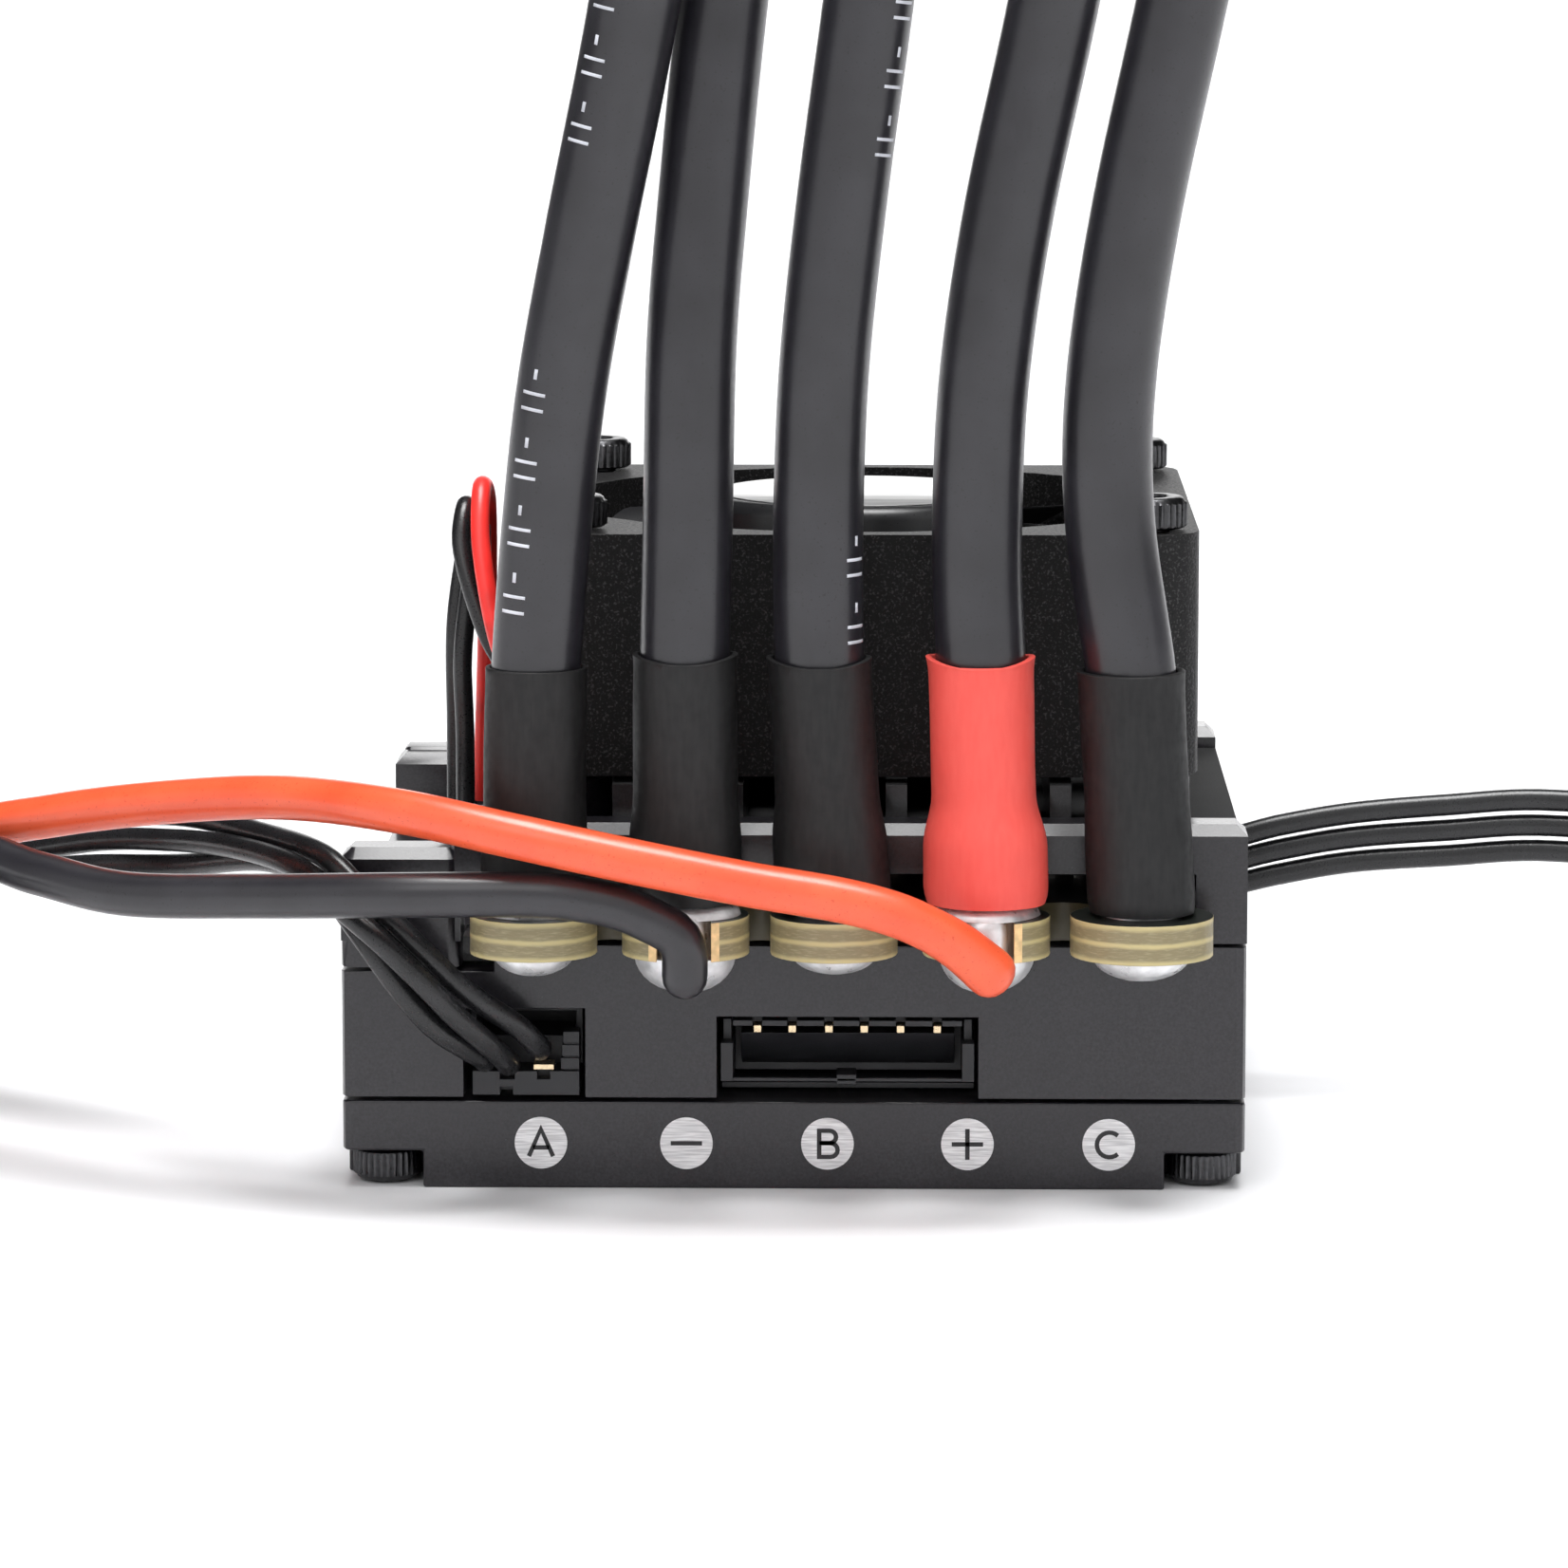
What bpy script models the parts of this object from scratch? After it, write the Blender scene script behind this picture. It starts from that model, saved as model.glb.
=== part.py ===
"""Sensored brushless speed controller for a 1/8 scale car, as separate named parts.

All sizes below are in millimetres, and MM turns them into Blender's metres. The origin is
on the surface that the case stands on, midway along its width and depth. +X is the
output-terminal side's right, +Y runs from the terminals to the rear, and +Z is up.
"""
import math

import bmesh
import bpy
from mathutils import Matrix, Vector

MM = 0.001
SEAM = 0.2
CLEAR = 0.3

# Case
CASE_HALF_WIDTH = 23.0
CASE_FRONT = -17.7
CASE_REAR = 24.3
BASE_TOP = 4.5
LOWER_TOP = 12.55
LOWER_STEP_TOP = 11.2
STEP_X = -15.2
COVER_FLOOR = 16.3
COVER_TOP = 18.8
TAB_TOP = 17.5
REAR_DROP = 0.45
WALL = 2.0
TAB_DEPTH = 3.2
EDGE_CHAMFER = 0.55

# Case screws
SCREW_X = 20.9
SCREW_Y = (-15.5, 22.1)
SCREW_HEAD_R = 1.75
SCREW_HEAD_H = 1.6
SCREW_R = 1.0
SCREW_NOTCH = 4.1
SCREW_END = 15.2

# Power board and its five terminals
BOARD_BOTTOM = 12.8
BOARD_TOP = 14.8
BOARD_X = (-16.4, 18.4)
BOARD_Y = (-17.5, 20.6)
LOBE_Y = -21.1
NECK_HALF = 2.3
HOLE_R = 1.9
SLOT_HALF = 1.35
TERMINALS = {
    "a": (-13.0, 0.2),
    "minus": (-5.35, 0.0),
    "b": (2.1, -0.75),
    "plus": (9.75, -0.35),
    "c": (17.55, -0.65),
}
LOBE_R = {"a": 3.2, "minus": 3.2, "b": 3.2, "plus": 3.2, "c": 3.6}
POWER_POSTS = ("minus", "plus")
SOLDER_DOME = {"a": (2.5, 1.15), "minus": (2.8, 1.9), "b": (2.4, 0.95), "plus": (2.8, 1.9),
               "c": (2.85, 1.25)}

# Shrunk sleeves: the upper end, the radius of the neck and that of the bulge below it
SLEEVE_BOTTOM = BOARD_TOP + 0.65
SLEEVES = {
    "a": (27.3, 2.56, 2.65),
    "minus": (28.0, 2.66, 2.8),
    "b": (27.85, 2.66, 2.85),
    "plus": (27.9, 2.66, 3.1),
    "c": (27.2, 2.68, 2.75),
}

# Cords, with the distance between the points of a tube in radii
POINT_SPACING = 5.4
MAIN_WIRE_R = 2.25
CAP_LEAD_R = 1.15
STRAND_R = 0.6
FAN_WIRE_R = 0.5

# Fan
FAN_SIZE = 35.0
FAN_CENTRE = (3.2, 4.8)
FAN_BOTTOM = 20.5
FAN_TOP = 33.0
FAN_BORE_R = 16.2
FAN_CORNER_R = 2.4
FAN_HOLE_OFFSET = 14.9
FAN_HEAD_R = 2.0
HUB_R = 8.6
BLADES = 7

# Boards and sockets inside
CONTROL_Z = (9.4, 10.4)
SENSOR_X = (-3.9, 9.4)
SENSOR_TOP = 8.9
RECEIVER_X = (-16.8, -10.6)
RECEIVER_TOP = 9.3
LEAD_SLOT_Y = (9.4, 11.6)
LEAD_SLOT_Z = (10.2, 14.4)

# Pieces on the far ends of the free cords
CAP_MODULE = (-66.0, -4.0)
SWITCH = (66.0, -6.0)
SWITCH_TRAVEL = 0.8


def clear_scene():
    for item in list(bpy.data.objects):
        bpy.data.objects.remove(item, do_unlink=True)


def new_collection(name):
    group = bpy.data.collections.new(name)
    bpy.context.scene.collection.children.link(group)
    return group


clear_scene()
PARTS = new_collection("speed_controller")
TOOLS = new_collection("cutters")
MATERIALS = {}


def material(name, colour, roughness, metallic=0.0):
    if name not in MATERIALS:
        made = bpy.data.materials.new(name)
        made.use_nodes = True
        shader = made.node_tree.nodes["Principled BSDF"]
        shader.inputs["Base Color"].default_value = (*colour, 1.0)
        shader.inputs["Roughness"].default_value = roughness
        shader.inputs["Metallic"].default_value = metallic
        MATERIALS[name] = made
    return MATERIALS[name]


def anodised():
    return material("black_anodised", (0.028, 0.027, 0.03), 0.42, 0.6)


def black_plastic():
    return material("black_plastic", (0.012, 0.012, 0.013), 0.45)


def black_silicone():
    return material("black_silicone", (0.018, 0.017, 0.02), 0.5)


def red_silicone():
    return material("red_silicone", (0.85, 0.09, 0.03), 0.42)


def black_sleeve():
    return material("black_sleeve", (0.018, 0.018, 0.018), 0.6)


def red_sleeve():
    return material("red_sleeve", (0.85, 0.06, 0.05), 0.5)


def solder_metal():
    return material("solder", (0.75, 0.75, 0.74), 0.25, 1.0)


def board_laminate():
    return material("board_laminate", (0.28, 0.24, 0.1), 0.5)


def bare_steel():
    return material("bare_steel", (0.5, 0.5, 0.5), 0.35, 1.0)


def add_object(name, data, finish=None, group=None):
    item = bpy.data.objects.new(name, data)
    (group or PARTS).objects.link(item)
    if finish:
        data.materials.append(finish)
    return item


def finish_mesh(name, work, finish, smooth_angle=None):
    data = bpy.data.meshes.new(name)
    bmesh.ops.recalc_face_normals(work, faces=work.faces)
    work.to_mesh(data)
    work.free()
    if smooth_angle:
        data.shade_smooth()
        data.set_sharp_from_angle(angle=math.radians(smooth_angle))
    return add_object(name, data, finish)


def box_mesh(x, y, z, corner=0.0, top=0.0, segments=3):
    """Box between the given limits, with rounded upright edges and a chamfered top rim."""
    work = bmesh.new()
    bmesh.ops.create_cube(work, size=1.0)
    size = Vector((x[1] - x[0], y[1] - y[0], z[1] - z[0])) * MM
    centre = Vector((x[0] + x[1], y[0] + y[1], z[0] + z[1])) * MM / 2
    bmesh.ops.scale(work, vec=size, verts=work.verts)
    if corner:
        upright = [e for e in work.edges if abs(e.verts[0].co.z - e.verts[1].co.z) > size.z / 2]
        bmesh.ops.bevel(work, geom=upright, offset=corner * MM, offset_type="OFFSET",
                        segments=segments, profile=0.5, affect="EDGES")
    if top:
        rim = [e for e in work.edges if min(v.co.z for v in e.verts) > size.z * 0.49]
        bmesh.ops.bevel(work, geom=rim, offset=top * MM, offset_type="OFFSET", segments=1,
                        profile=0.5, affect="EDGES")
    bmesh.ops.translate(work, vec=centre, verts=work.verts)
    return work


def box(name, x, y, z, finish=None, corner=0.0, top=0.0, segments=3):
    return finish_mesh(name, box_mesh(x, y, z, corner, top, segments), finish)


def rod(name, centre, radius, z, finish=None, sides=24, end_radius=None):
    """Upright cylinder, or a cone where the upper end has a radius of its own."""
    work = bmesh.new()
    upper = radius if end_radius is None else end_radius
    bmesh.ops.create_cone(work, cap_ends=True, segments=sides, radius1=radius * MM,
                          radius2=upper * MM, depth=(z[1] - z[0]) * MM)
    place = Vector((centre[0], centre[1], (z[0] + z[1]) / 2)) * MM
    bmesh.ops.translate(work, vec=place, verts=work.verts)
    return finish_mesh(name, work, finish, smooth_angle=40)


def as_tool(item):
    for group in item.users_collection:
        group.objects.unlink(item)
    TOOLS.objects.link(item)
    item.hide_render = True
    item.display_type = "WIRE"
    return item


def combine(target, tool, operation):
    as_tool(tool)
    change = target.modifiers.new(tool.name, "BOOLEAN")
    change.operation = operation
    change.solver = "EXACT"
    change.object = tool
    return target


def cut(target, *tools):
    for tool in tools:
        combine(target, tool, "DIFFERENCE")
    return target


def join(target, *tools):
    for tool in tools:
        combine(target, tool, "UNION")
    return target


def cut_box(target, x, y, z, corner=0.0):
    return cut(target, box(target.name + "_cut", x, y, z, corner=corner))


def cut_rod(target, centre, radius, z, sides=20):
    return cut(target, rod(target.name + "_bore", centre, radius, z, sides=sides))


def join_box(target, x, y, z, corner=0.0, top=0.0):
    return join(target, box(target.name + "_add", x, y, z, corner=corner, top=top))


def turned(name, centre, profile, finish, steps=20):
    """Body turned about an upright axis. The profile lists (radius, height), top first."""
    data = bpy.data.meshes.new(name)
    points = [(r * MM, 0.0, h * MM) for r, h in profile]
    data.from_pydata(points, [(i, i + 1) for i in range(len(points) - 1)], [])
    item = add_object(name, data, finish)
    item.location = (centre[0] * MM, centre[1] * MM, 0.0)
    screw = item.modifiers.new("turn", "SCREW")
    screw.axis = "Z"
    screw.steps = steps
    screw.render_steps = steps
    screw.use_merge_vertices = True
    screw.merge_threshold = 0.000001
    screw.use_smooth_shade = True
    return item


def smooth_route(route, spacing):
    """Points at even spacing on a smooth curve through the route's own points."""
    knots = [Vector(p) for p in route]
    ends = [2 * knots[0] - knots[1], *knots, 2 * knots[-1] - knots[-2]]
    fine = []
    for i in range(1, len(ends) - 2):
        before, start, stop, after = ends[i - 1:i + 3]
        for k in range(24):
            t = k / 24
            fine.append(0.5 * (2 * start + (stop - before) * t
                               + (2 * before - 5 * start + 4 * stop - after) * t * t
                               + (3 * start - before - 3 * stop + after) * t ** 3))
    fine.append(knots[-1])
    total = sum((b - a).length for a, b in zip(fine, fine[1:]))
    count = max(2, round(total / spacing))
    points, walked, index = [fine[0]], 0.0, 0
    for k in range(1, count):
        goal = total * k / count
        while walked + (fine[index + 1] - fine[index]).length < goal:
            walked += (fine[index + 1] - fine[index]).length
            index += 1
        step = fine[index + 1] - fine[index]
        points.append(fine[index] + step * ((goal - walked) / step.length))
    return [*points, fine[-1]]


def tube(name, route, radius, finish, resolution=2):
    """Round cord along a route, with flat filled ends."""
    points = smooth_route(route, radius * POINT_SPACING)
    data = bpy.data.curves.new(name, "CURVE")
    data.dimensions = "3D"
    data.bevel_depth = radius * MM
    data.bevel_resolution = resolution
    data.use_fill_caps = True
    line = data.splines.new("POLY")
    line.points.add(len(points) - 1)
    for spot, point in zip(line.points, points):
        spot.co = (*(point * MM), 1.0)
    line.use_smooth = True
    return add_object(name, data, finish)


def copy_of(name, source, offset):
    item = add_object(name, source.data)
    item.location = Vector(offset) * MM
    return item


def outline_plate(name, points, z, finish):
    """Flat plate cut to an outline."""
    data = bpy.data.curves.new(name, "CURVE")
    data.dimensions = "2D"
    data.fill_mode = "BOTH"
    data.extrude = (z[1] - z[0]) * MM / 2
    line = data.splines.new("POLY")
    line.points.add(len(points) - 1)
    for spot, (x, y) in zip(line.points, points):
        spot.co = (x * MM, y * MM, 0.0, 1.0)
    line.use_cyclic_u = True
    flat = add_object(name + "_outline", data)
    flat.location.z = (z[0] + z[1]) * MM / 2
    bpy.context.view_layer.update()
    solid = flat.evaluated_get(bpy.context.evaluated_depsgraph_get())
    mesh = bpy.data.meshes.new_from_object(solid)
    work = bmesh.new()
    work.from_mesh(mesh)
    bmesh.ops.remove_doubles(work, verts=work.verts, dist=0.000001)
    bmesh.ops.transform(work, matrix=flat.matrix_world, verts=work.verts)
    bpy.data.objects.remove(flat)
    bpy.data.meshes.remove(mesh)
    return finish_mesh(name, work, finish)


def arc(centre, radius, start, stop, count):
    """Points on an arc, with its angles in degrees."""
    angles = [math.radians(start + (stop - start) * k / (count - 1)) for k in range(count)]
    return [(centre[0] + radius * math.cos(a), centre[1] + radius * math.sin(a))
            for a in angles]


# ---------------------------------------------------------------- case


def corner_spots():
    return [(side * SCREW_X, y) for y in SCREW_Y for side in (-1, 1)]


def full_width():
    return (-CASE_HALF_WIDTH, CASE_HALF_WIDTH)


def full_depth():
    return (CASE_FRONT, CASE_REAR)


def base_plate():
    plate = box("base_plate", full_width(), full_depth(), (0.0, BASE_TOP), anodised(),
                corner=0.5, segments=2)
    cut_box(plate, (-18.0, 18.0), (-14.6, 21.2), (2.4, BASE_TOP + 1))
    for x, y in corner_spots():
        side = math.copysign(1, x)
        end = -1 if y < 0 else 1
        outer_x = side * (CASE_HALF_WIDTH + 1)
        outer_y = CASE_FRONT - 1 if end < 0 else CASE_REAR + 1
        inner_x = side * (CASE_HALF_WIDTH - SCREW_NOTCH)
        inner_y = (CASE_FRONT if end < 0 else CASE_REAR) - end * SCREW_NOTCH
        cut_box(plate, sorted((inner_x, outer_x)), sorted((inner_y, outer_y)), (-1.0, 1.9))
        cut_rod(plate, (x, y), SCREW_R + 0.2, (1.0, BASE_TOP + 1))
    return plate


def lower_case():
    """Open frame around the control board, with the two socket openings in its front."""
    bottom = BASE_TOP + SEAM
    case = box("lower_case", full_width(), full_depth(), (bottom, LOWER_TOP), anodised(),
               corner=0.5, segments=2)
    cut_box(case, (-CASE_HALF_WIDTH - 1, STEP_X), (CASE_FRONT - 1, CASE_REAR + 1),
            (LOWER_STEP_TOP, LOWER_TOP + 1))
    inner = CASE_HALF_WIDTH - WALL
    cut_box(case, (-18.6, 18.6), (CASE_FRONT + WALL, CASE_REAR - WALL), (0.0, LOWER_TOP + 1))
    cut_box(case, (-inner, inner), (-13.0, 19.6), (0.0, LOWER_TOP + 1))
    front = (CASE_FRONT - 1, CASE_FRONT + WALL + 1)
    cut_box(case, SENSOR_X, front, (0.0, SENSOR_TOP))
    cut_box(case, RECEIVER_X, front, (0.0, RECEIVER_TOP))
    for x, y in corner_spots():
        cut_rod(case, (x, y), SCREW_R + 0.2, (0.0, LOWER_TOP + 1))
    cut_box(case, (CASE_HALF_WIDTH - WALL - 1, CASE_HALF_WIDTH + 1), LEAD_SLOT_Y,
            (LEAD_SLOT_Z[0], LOWER_TOP + 1))
    return case


def fin_positions():
    first, last, count = -11.6, 19.2, 12
    return [first + (last - first) * k / (count - 1) for k in range(count)]


def top_cover():
    """Heat sink lid: front and rear ribs, corner tabs, a low left deck and the cooling fins."""
    bottom = LOWER_TOP + SEAM
    step_bottom = LOWER_STEP_TOP + SEAM
    half = CASE_HALF_WIDTH
    lid = box("top_cover", (STEP_X, half), (CASE_FRONT + 0.4, CASE_REAR - 0.4),
              (bottom, COVER_FLOOR + 0.9), anodised())
    for start, drop in ((CASE_FRONT, 0.0), (CASE_REAR - TAB_DEPTH, REAR_DROP)):
        depth = (start, start + TAB_DEPTH)
        join_box(lid, (-17.2, half), depth, (bottom, COVER_TOP - drop), top=EDGE_CHAMFER)
        join_box(lid, (-half, -16.9), depth, (step_bottom, TAB_TOP - drop), corner=0.7,
                 top=EDGE_CHAMFER)
    join_box(lid, (-half, STEP_X + 1), (CASE_FRONT + 2, CASE_REAR - 2),
             (step_bottom, LOWER_TOP + 0.3))
    for side_x in (SCREW_X - 2.3, -half):
        for y in SCREW_Y:
            join_box(lid, (side_x, side_x + 4.4), (y - 2.1, y + 2.1),
                     (bottom, TAB_TOP - 0.6))
    for x in fin_positions():
        join_box(lid, (x - 0.55, x + 0.55), (-13.4, 20.6), (COVER_FLOOR, FAN_BOTTOM - CLEAR))
    join_box(lid, (-12.0, 18.4), (19.6, 20.6), (COVER_FLOOR, FAN_BOTTOM - CLEAR))
    for dx in (-FAN_HOLE_OFFSET, FAN_HOLE_OFFSET):
        for dy in (-FAN_HOLE_OFFSET, FAN_HOLE_OFFSET):
            spot = (FAN_CENTRE[0] + dx, FAN_CENTRE[1] + dy)
            join(lid, rod("fan_post", spot, 2.2, (COVER_FLOOR, FAN_BOTTOM - CLEAR)))
            cut_rod(lid, spot, SCREW_R + 0.15, (COVER_FLOOR - 0.4 + CLEAR, FAN_BOTTOM + 1))
    cut_box(lid, (BOARD_X[0] - 0.5, 20.4), (CASE_FRONT - 1, CASE_FRONT + 4.6),
            (bottom - 0.1, COVER_FLOOR))
    cut_box(lid, (-14.9, BOARD_X[1] + 0.4), (CASE_FRONT + 2, 21.0), (0.0, COVER_FLOOR))
    cut_box(lid, (18.0, CASE_HALF_WIDTH + 1), LEAD_SLOT_Y, (0.0, LEAD_SLOT_Z[1]))
    for x, y in corner_spots():
        cut_rod(lid, (x, y), SCREW_R + 0.15, (0.0, SCREW_END + CLEAR))
    return lid


def case_screws():
    """Socket head screws that come up from below through all three case pieces."""
    head = (0.15, 0.15 + SCREW_HEAD_H)
    first = rod("case_screw_1", (0, 0), SCREW_HEAD_R, head, bare_steel())
    join(first, rod("case_screw_shank", (0, 0), SCREW_R, (head[1] - 0.3, SCREW_END), sides=16))
    cut_rod(first, (0, 0), 0.9, (-1.0, 0.9), sides=6)
    bpy.context.view_layer.update()
    solid = first.evaluated_get(bpy.context.evaluated_depsgraph_get())
    shape = bpy.data.meshes.new_from_object(solid)
    first.modifiers.clear()
    first.data = shape
    spots = corner_spots()
    first.location = (spots[0][0] * MM, spots[0][1] * MM, 0.0)
    for k, (x, y) in enumerate(spots[1:], start=2):
        copy_of(f"case_screw_{k}", first, (x, y, 0.0))


# ---------------------------------------------------------------- boards


def power_board():
    """Thick board whose front edge ends in five round solder lobes."""
    centres = [x for x, _ in TERMINALS.values()]
    points = [(BOARD_X[0], BOARD_Y[0])]
    for x, radius, following in zip(centres, LOBE_R.values(), [*centres[1:], None]):
        reach = math.sqrt(radius ** 2 - NECK_HALF ** 2)
        turn = math.degrees(math.atan2(reach, NECK_HALF))
        points += arc((x, LOBE_Y), radius, 180 - turn, 360 + turn, 25)
        if following:
            middle = ((x + following) / 2, LOBE_Y + reach)
            points += arc(middle, (following - x) / 2 - NECK_HALF, 180, 0, 9)[1:-1]
    points += [(BOARD_X[1], BOARD_Y[0]), (BOARD_X[1], BOARD_Y[1]), (BOARD_X[0] + 2.0, BOARD_Y[1]),
               (BOARD_X[0] + 2.0, -13.4), (BOARD_X[0], -13.4)]
    board = outline_plate("power_board", points, (BOARD_BOTTOM, BOARD_TOP), board_laminate())
    for key, (x, _) in TERMINALS.items():
        cut_rod(board, (x, LOBE_Y), HOLE_R, (BOARD_BOTTOM - 1, BOARD_TOP + 1), sides=24)
        if key in POWER_POSTS:
            cut_box(board, (x - SLOT_HALF, x + SLOT_HALF), (LOBE_Y - LOBE_R[key] - 1, LOBE_Y),
                    (BOARD_BOTTOM - 1, BOARD_TOP + 1))
    return board


def solder_joints():
    """Solder filling each terminal hole, with a dome below and a collar above."""
    fill = HOLE_R - 0.15
    under = BOARD_BOTTOM - 0.15
    for key, (x, _) in TERMINALS.items():
        dome_r, drop = SOLDER_DOME[key]
        profile = [(0.0, BOARD_TOP + 0.5), (1.9, BOARD_TOP + 0.45), (2.2, BOARD_TOP + 0.15),
                   (fill, BOARD_TOP + 0.05), (fill, under + 0.05), (dome_r, under)]
        profile += [(dome_r * math.cos(t), under - drop * math.sin(t))
                    for t in (0.35, 0.7, 1.05, 1.3)]
        profile.append((0.0, under - drop))
        joint = turned(f"solder_{key}", (x, LOBE_Y), profile, solder_metal())
        if key in POWER_POSTS:
            reach = (LOBE_Y - LOBE_R[key] + 0.3, LOBE_Y)
            join_box(joint, (x - SLOT_HALF + 0.15, x + SLOT_HALF - 0.15), reach,
                     (under - 0.5, BOARD_TOP + 0.1))


def inner_boards():
    """Control board, its link to the power board, the switching transistors and the pad."""
    finish = material("green_board", (0.02, 0.09, 0.04), 0.45)
    box("control_board", (-17.6, 17.6), (-15.3, 21.5), CONTROL_Z, finish)
    box("board_link", (-8.0, 10.0), (17.0, 19.5), (CONTROL_Z[1] + CLEAR, BOARD_BOTTOM - CLEAR),
        black_plastic())
    for key, x in (("a", -9.0), ("b", 2.1), ("c", 13.2)):
        box(f"transistor_{key}", (x - 4.0, x + 4.0), (-8.0, 10.0),
            (BOARD_TOP + 0.1, BOARD_TOP + 0.9), black_plastic())
    pad = material("thermal_pad", (0.35, 0.38, 0.42), 0.8)
    box("thermal_pad", (-13.5, 17.5), (-9.0, 11.0), (BOARD_TOP + 1.0, COVER_FLOOR - 0.1), pad)


def sensor_socket():
    """Six-way motor sensor socket: a thin walled shell hung under the control board."""
    x = (SENSOR_X[0] + 0.2, SENSOR_X[1] - 0.2)
    z = (BASE_TOP + CLEAR, SENSOR_TOP - 0.2)
    shell = box("sensor_socket", x, (CASE_FRONT + 0.1, -12.0), z, black_plastic())
    cut_box(shell, (x[0] + 0.6, x[1] - 0.6), (CASE_FRONT - 1, -13.4), (z[0] + 0.5, z[1] - 0.6))
    notch = (x[1] - x[0] - 1.8) / 6
    for k in range(6):
        start = x[0] + 0.9 + notch * (k + 0.3)
        cut_box(shell, (start, start + notch * 0.4), (CASE_FRONT - 1, CASE_FRONT + 1.4),
                (z[1] - 1.0, z[1] + 1))
    return shell


def receiver_socket():
    """Shell of the receiver lead's socket and the plug pushed into it."""
    x = (RECEIVER_X[0] + 0.2, RECEIVER_X[1] - 0.2)
    z = (BASE_TOP + CLEAR, RECEIVER_TOP - 0.2)
    shell = box("receiver_socket", x, (CASE_FRONT + 0.3, -10.0), z, black_plastic())
    cut_box(shell, (x[0] + 0.5, x[1] - 0.5), (CASE_FRONT - 1, -11.0), (z[0] + 0.5, z[1] - 0.5))
    plug = box("receiver_plug", (x[0] + 0.8, x[1] - 0.8), (CASE_FRONT + 0.1, -11.4),
               (z[0] + 0.8, z[1] - 1.0), black_plastic())
    return shell, plug


# ---------------------------------------------------------------- terminals and cords


def sleeves():
    """Shrunk tubing over each soldered wire end, bulged where it covers the joint."""
    bore = MAIN_WIRE_R + 0.1
    for key, (x, lean) in TERMINALS.items():
        top, neck, bulge = SLEEVES[key]
        profile = [(bore, top), (neck + 0.1, top), (neck, top - 1.2), (neck, 20.8),
                   (bulge - 0.1, 19.2), (bulge, 18.0), (bulge, SLEEVE_BOTTOM + 0.6),
                   (bulge - 0.2, SLEEVE_BOTTOM), (bore, SLEEVE_BOTTOM), (bore, top)]
        finish = red_sleeve() if key == "plus" else black_sleeve()
        sleeve = turned(f"sleeve_{key}", (x, LOBE_Y), profile, finish)
        lean_over(sleeve, lean / (top - SLEEVE_BOTTOM), SLEEVE_BOTTOM)


def lean_over(item, slope, base):
    """Turns a piece made by a modifier into a mesh and shears it sideways above its base."""
    bpy.context.view_layer.update()
    solid = item.evaluated_get(bpy.context.evaluated_depsgraph_get())
    shape = bpy.data.meshes.new_from_object(solid)
    for vertex in shape.vertices:
        vertex.co.x += (vertex.co.z - base * MM) * slope
    item.modifiers.clear()
    item.data = shape


# Where the main wires run above their sleeves
WIRE_ROUTES = {
    "a": [(-12.2, -21.2, 34.7), (-11.4, -21.4, 41.5), (-9.9, -21.7, 49.5), (-7.8, -22.1, 60.0),
          (-5.9, -22.9, 72.0), (-4.6, -24.2, 84.0), (-4.2, -25.8, 97.0), (-4.8, -27.2, 110.0),
          (-5.8, -28.2, 121.0)],
    "minus": [(-5.2, -21.0, 34.7), (-5.0, -20.8, 43.5), (-4.4, -20.3, 51.0), (-3.5, -19.7, 60.0),
              (-2.0, -18.6, 72.0), (-0.4, -17.2, 84.0), (0.8, -15.8, 97.0), (1.2, -14.6, 110.0),
              (1.0, -13.8, 120.0)],
    "b": [(1.3, -21.0, 34.7), (1.6, -21.0, 42.5), (2.5, -20.9, 51.0), (3.7, -20.8, 60.0),
          (5.2, -20.6, 72.0), (6.4, -20.2, 84.0), (7.2, -19.6, 97.0), (7.6, -18.8, 110.0),
          (7.4, -18.0, 121.0)],
    "plus": [(9.2, -21.0, 33.5), (9.5, -21.0, 41.5), (10.7, -20.9, 50.0), (12.8, -20.8, 60.0),
             (15.0, -21.8, 72.0), (16.6, -23.6, 84.0), (17.2, -25.8, 97.0), (16.8, -27.6, 110.0),
             (16.0, -28.8, 120.0)],
    "c": [(15.8, -21.0, 34.7), (15.8, -21.0, 41.5), (17.0, -20.9, 50.0), (19.1, -20.8, 60.0),
          (21.6, -20.4, 72.0), (23.4, -19.6, 84.0), (24.2, -18.4, 97.0), (24.0, -17.0, 110.0),
          (23.2, -16.0, 121.0)],
}

CAP_ROUTES = {
    "minus": [(-5.25, -25.6, 11.25), (-5.25, -25.6, 12.5), (-5.25, -25.7, 13.4),
              (-5.45, -25.9, 14.2), (-5.95, -26.0, 14.75), (-7.15, -26.1, 15.4),
              (-8.3, -26.1, 15.9), (-9.95, -26.0, 16.25), (-12.8, -25.8, 16.5),
              (-19.5, -24.8, 16.3), (-27.0, -21.6, 15.7), (-33.8, -18.6, 15.3),
              (-38.6, -15.4, 15.8), (-43.2, -11.4, 16.2), (-47.0, -8.8, 12.8),
              (-49.6, -7.4, 9.4), (-52.4, -7.0, 8.3)],
    "plus": [(10.75, -25.9, 11.95), (9.75, -26.0, 12.85), (8.35, -26.6, 14.1),
             (6.7, -27.1, 15.15), (4.8, -27.3, 15.95), (2.15, -27.3, 16.6),
             (-2.4, -27.2, 17.35), (-8.1, -27.0, 18.45), (-13.8, -26.0, 19.5),
             (-19.7, -23.2, 20.3), (-25.7, -18.6, 20.25), (-31.8, -15.2, 19.5),
             (-38.1, -12.0, 18.3), (-43.6, -8.4, 16.6), (-47.4, -4.8, 12.8),
             (-49.6, -2.0, 9.6), (-52.4, -1.2, 8.5)],
}

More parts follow.
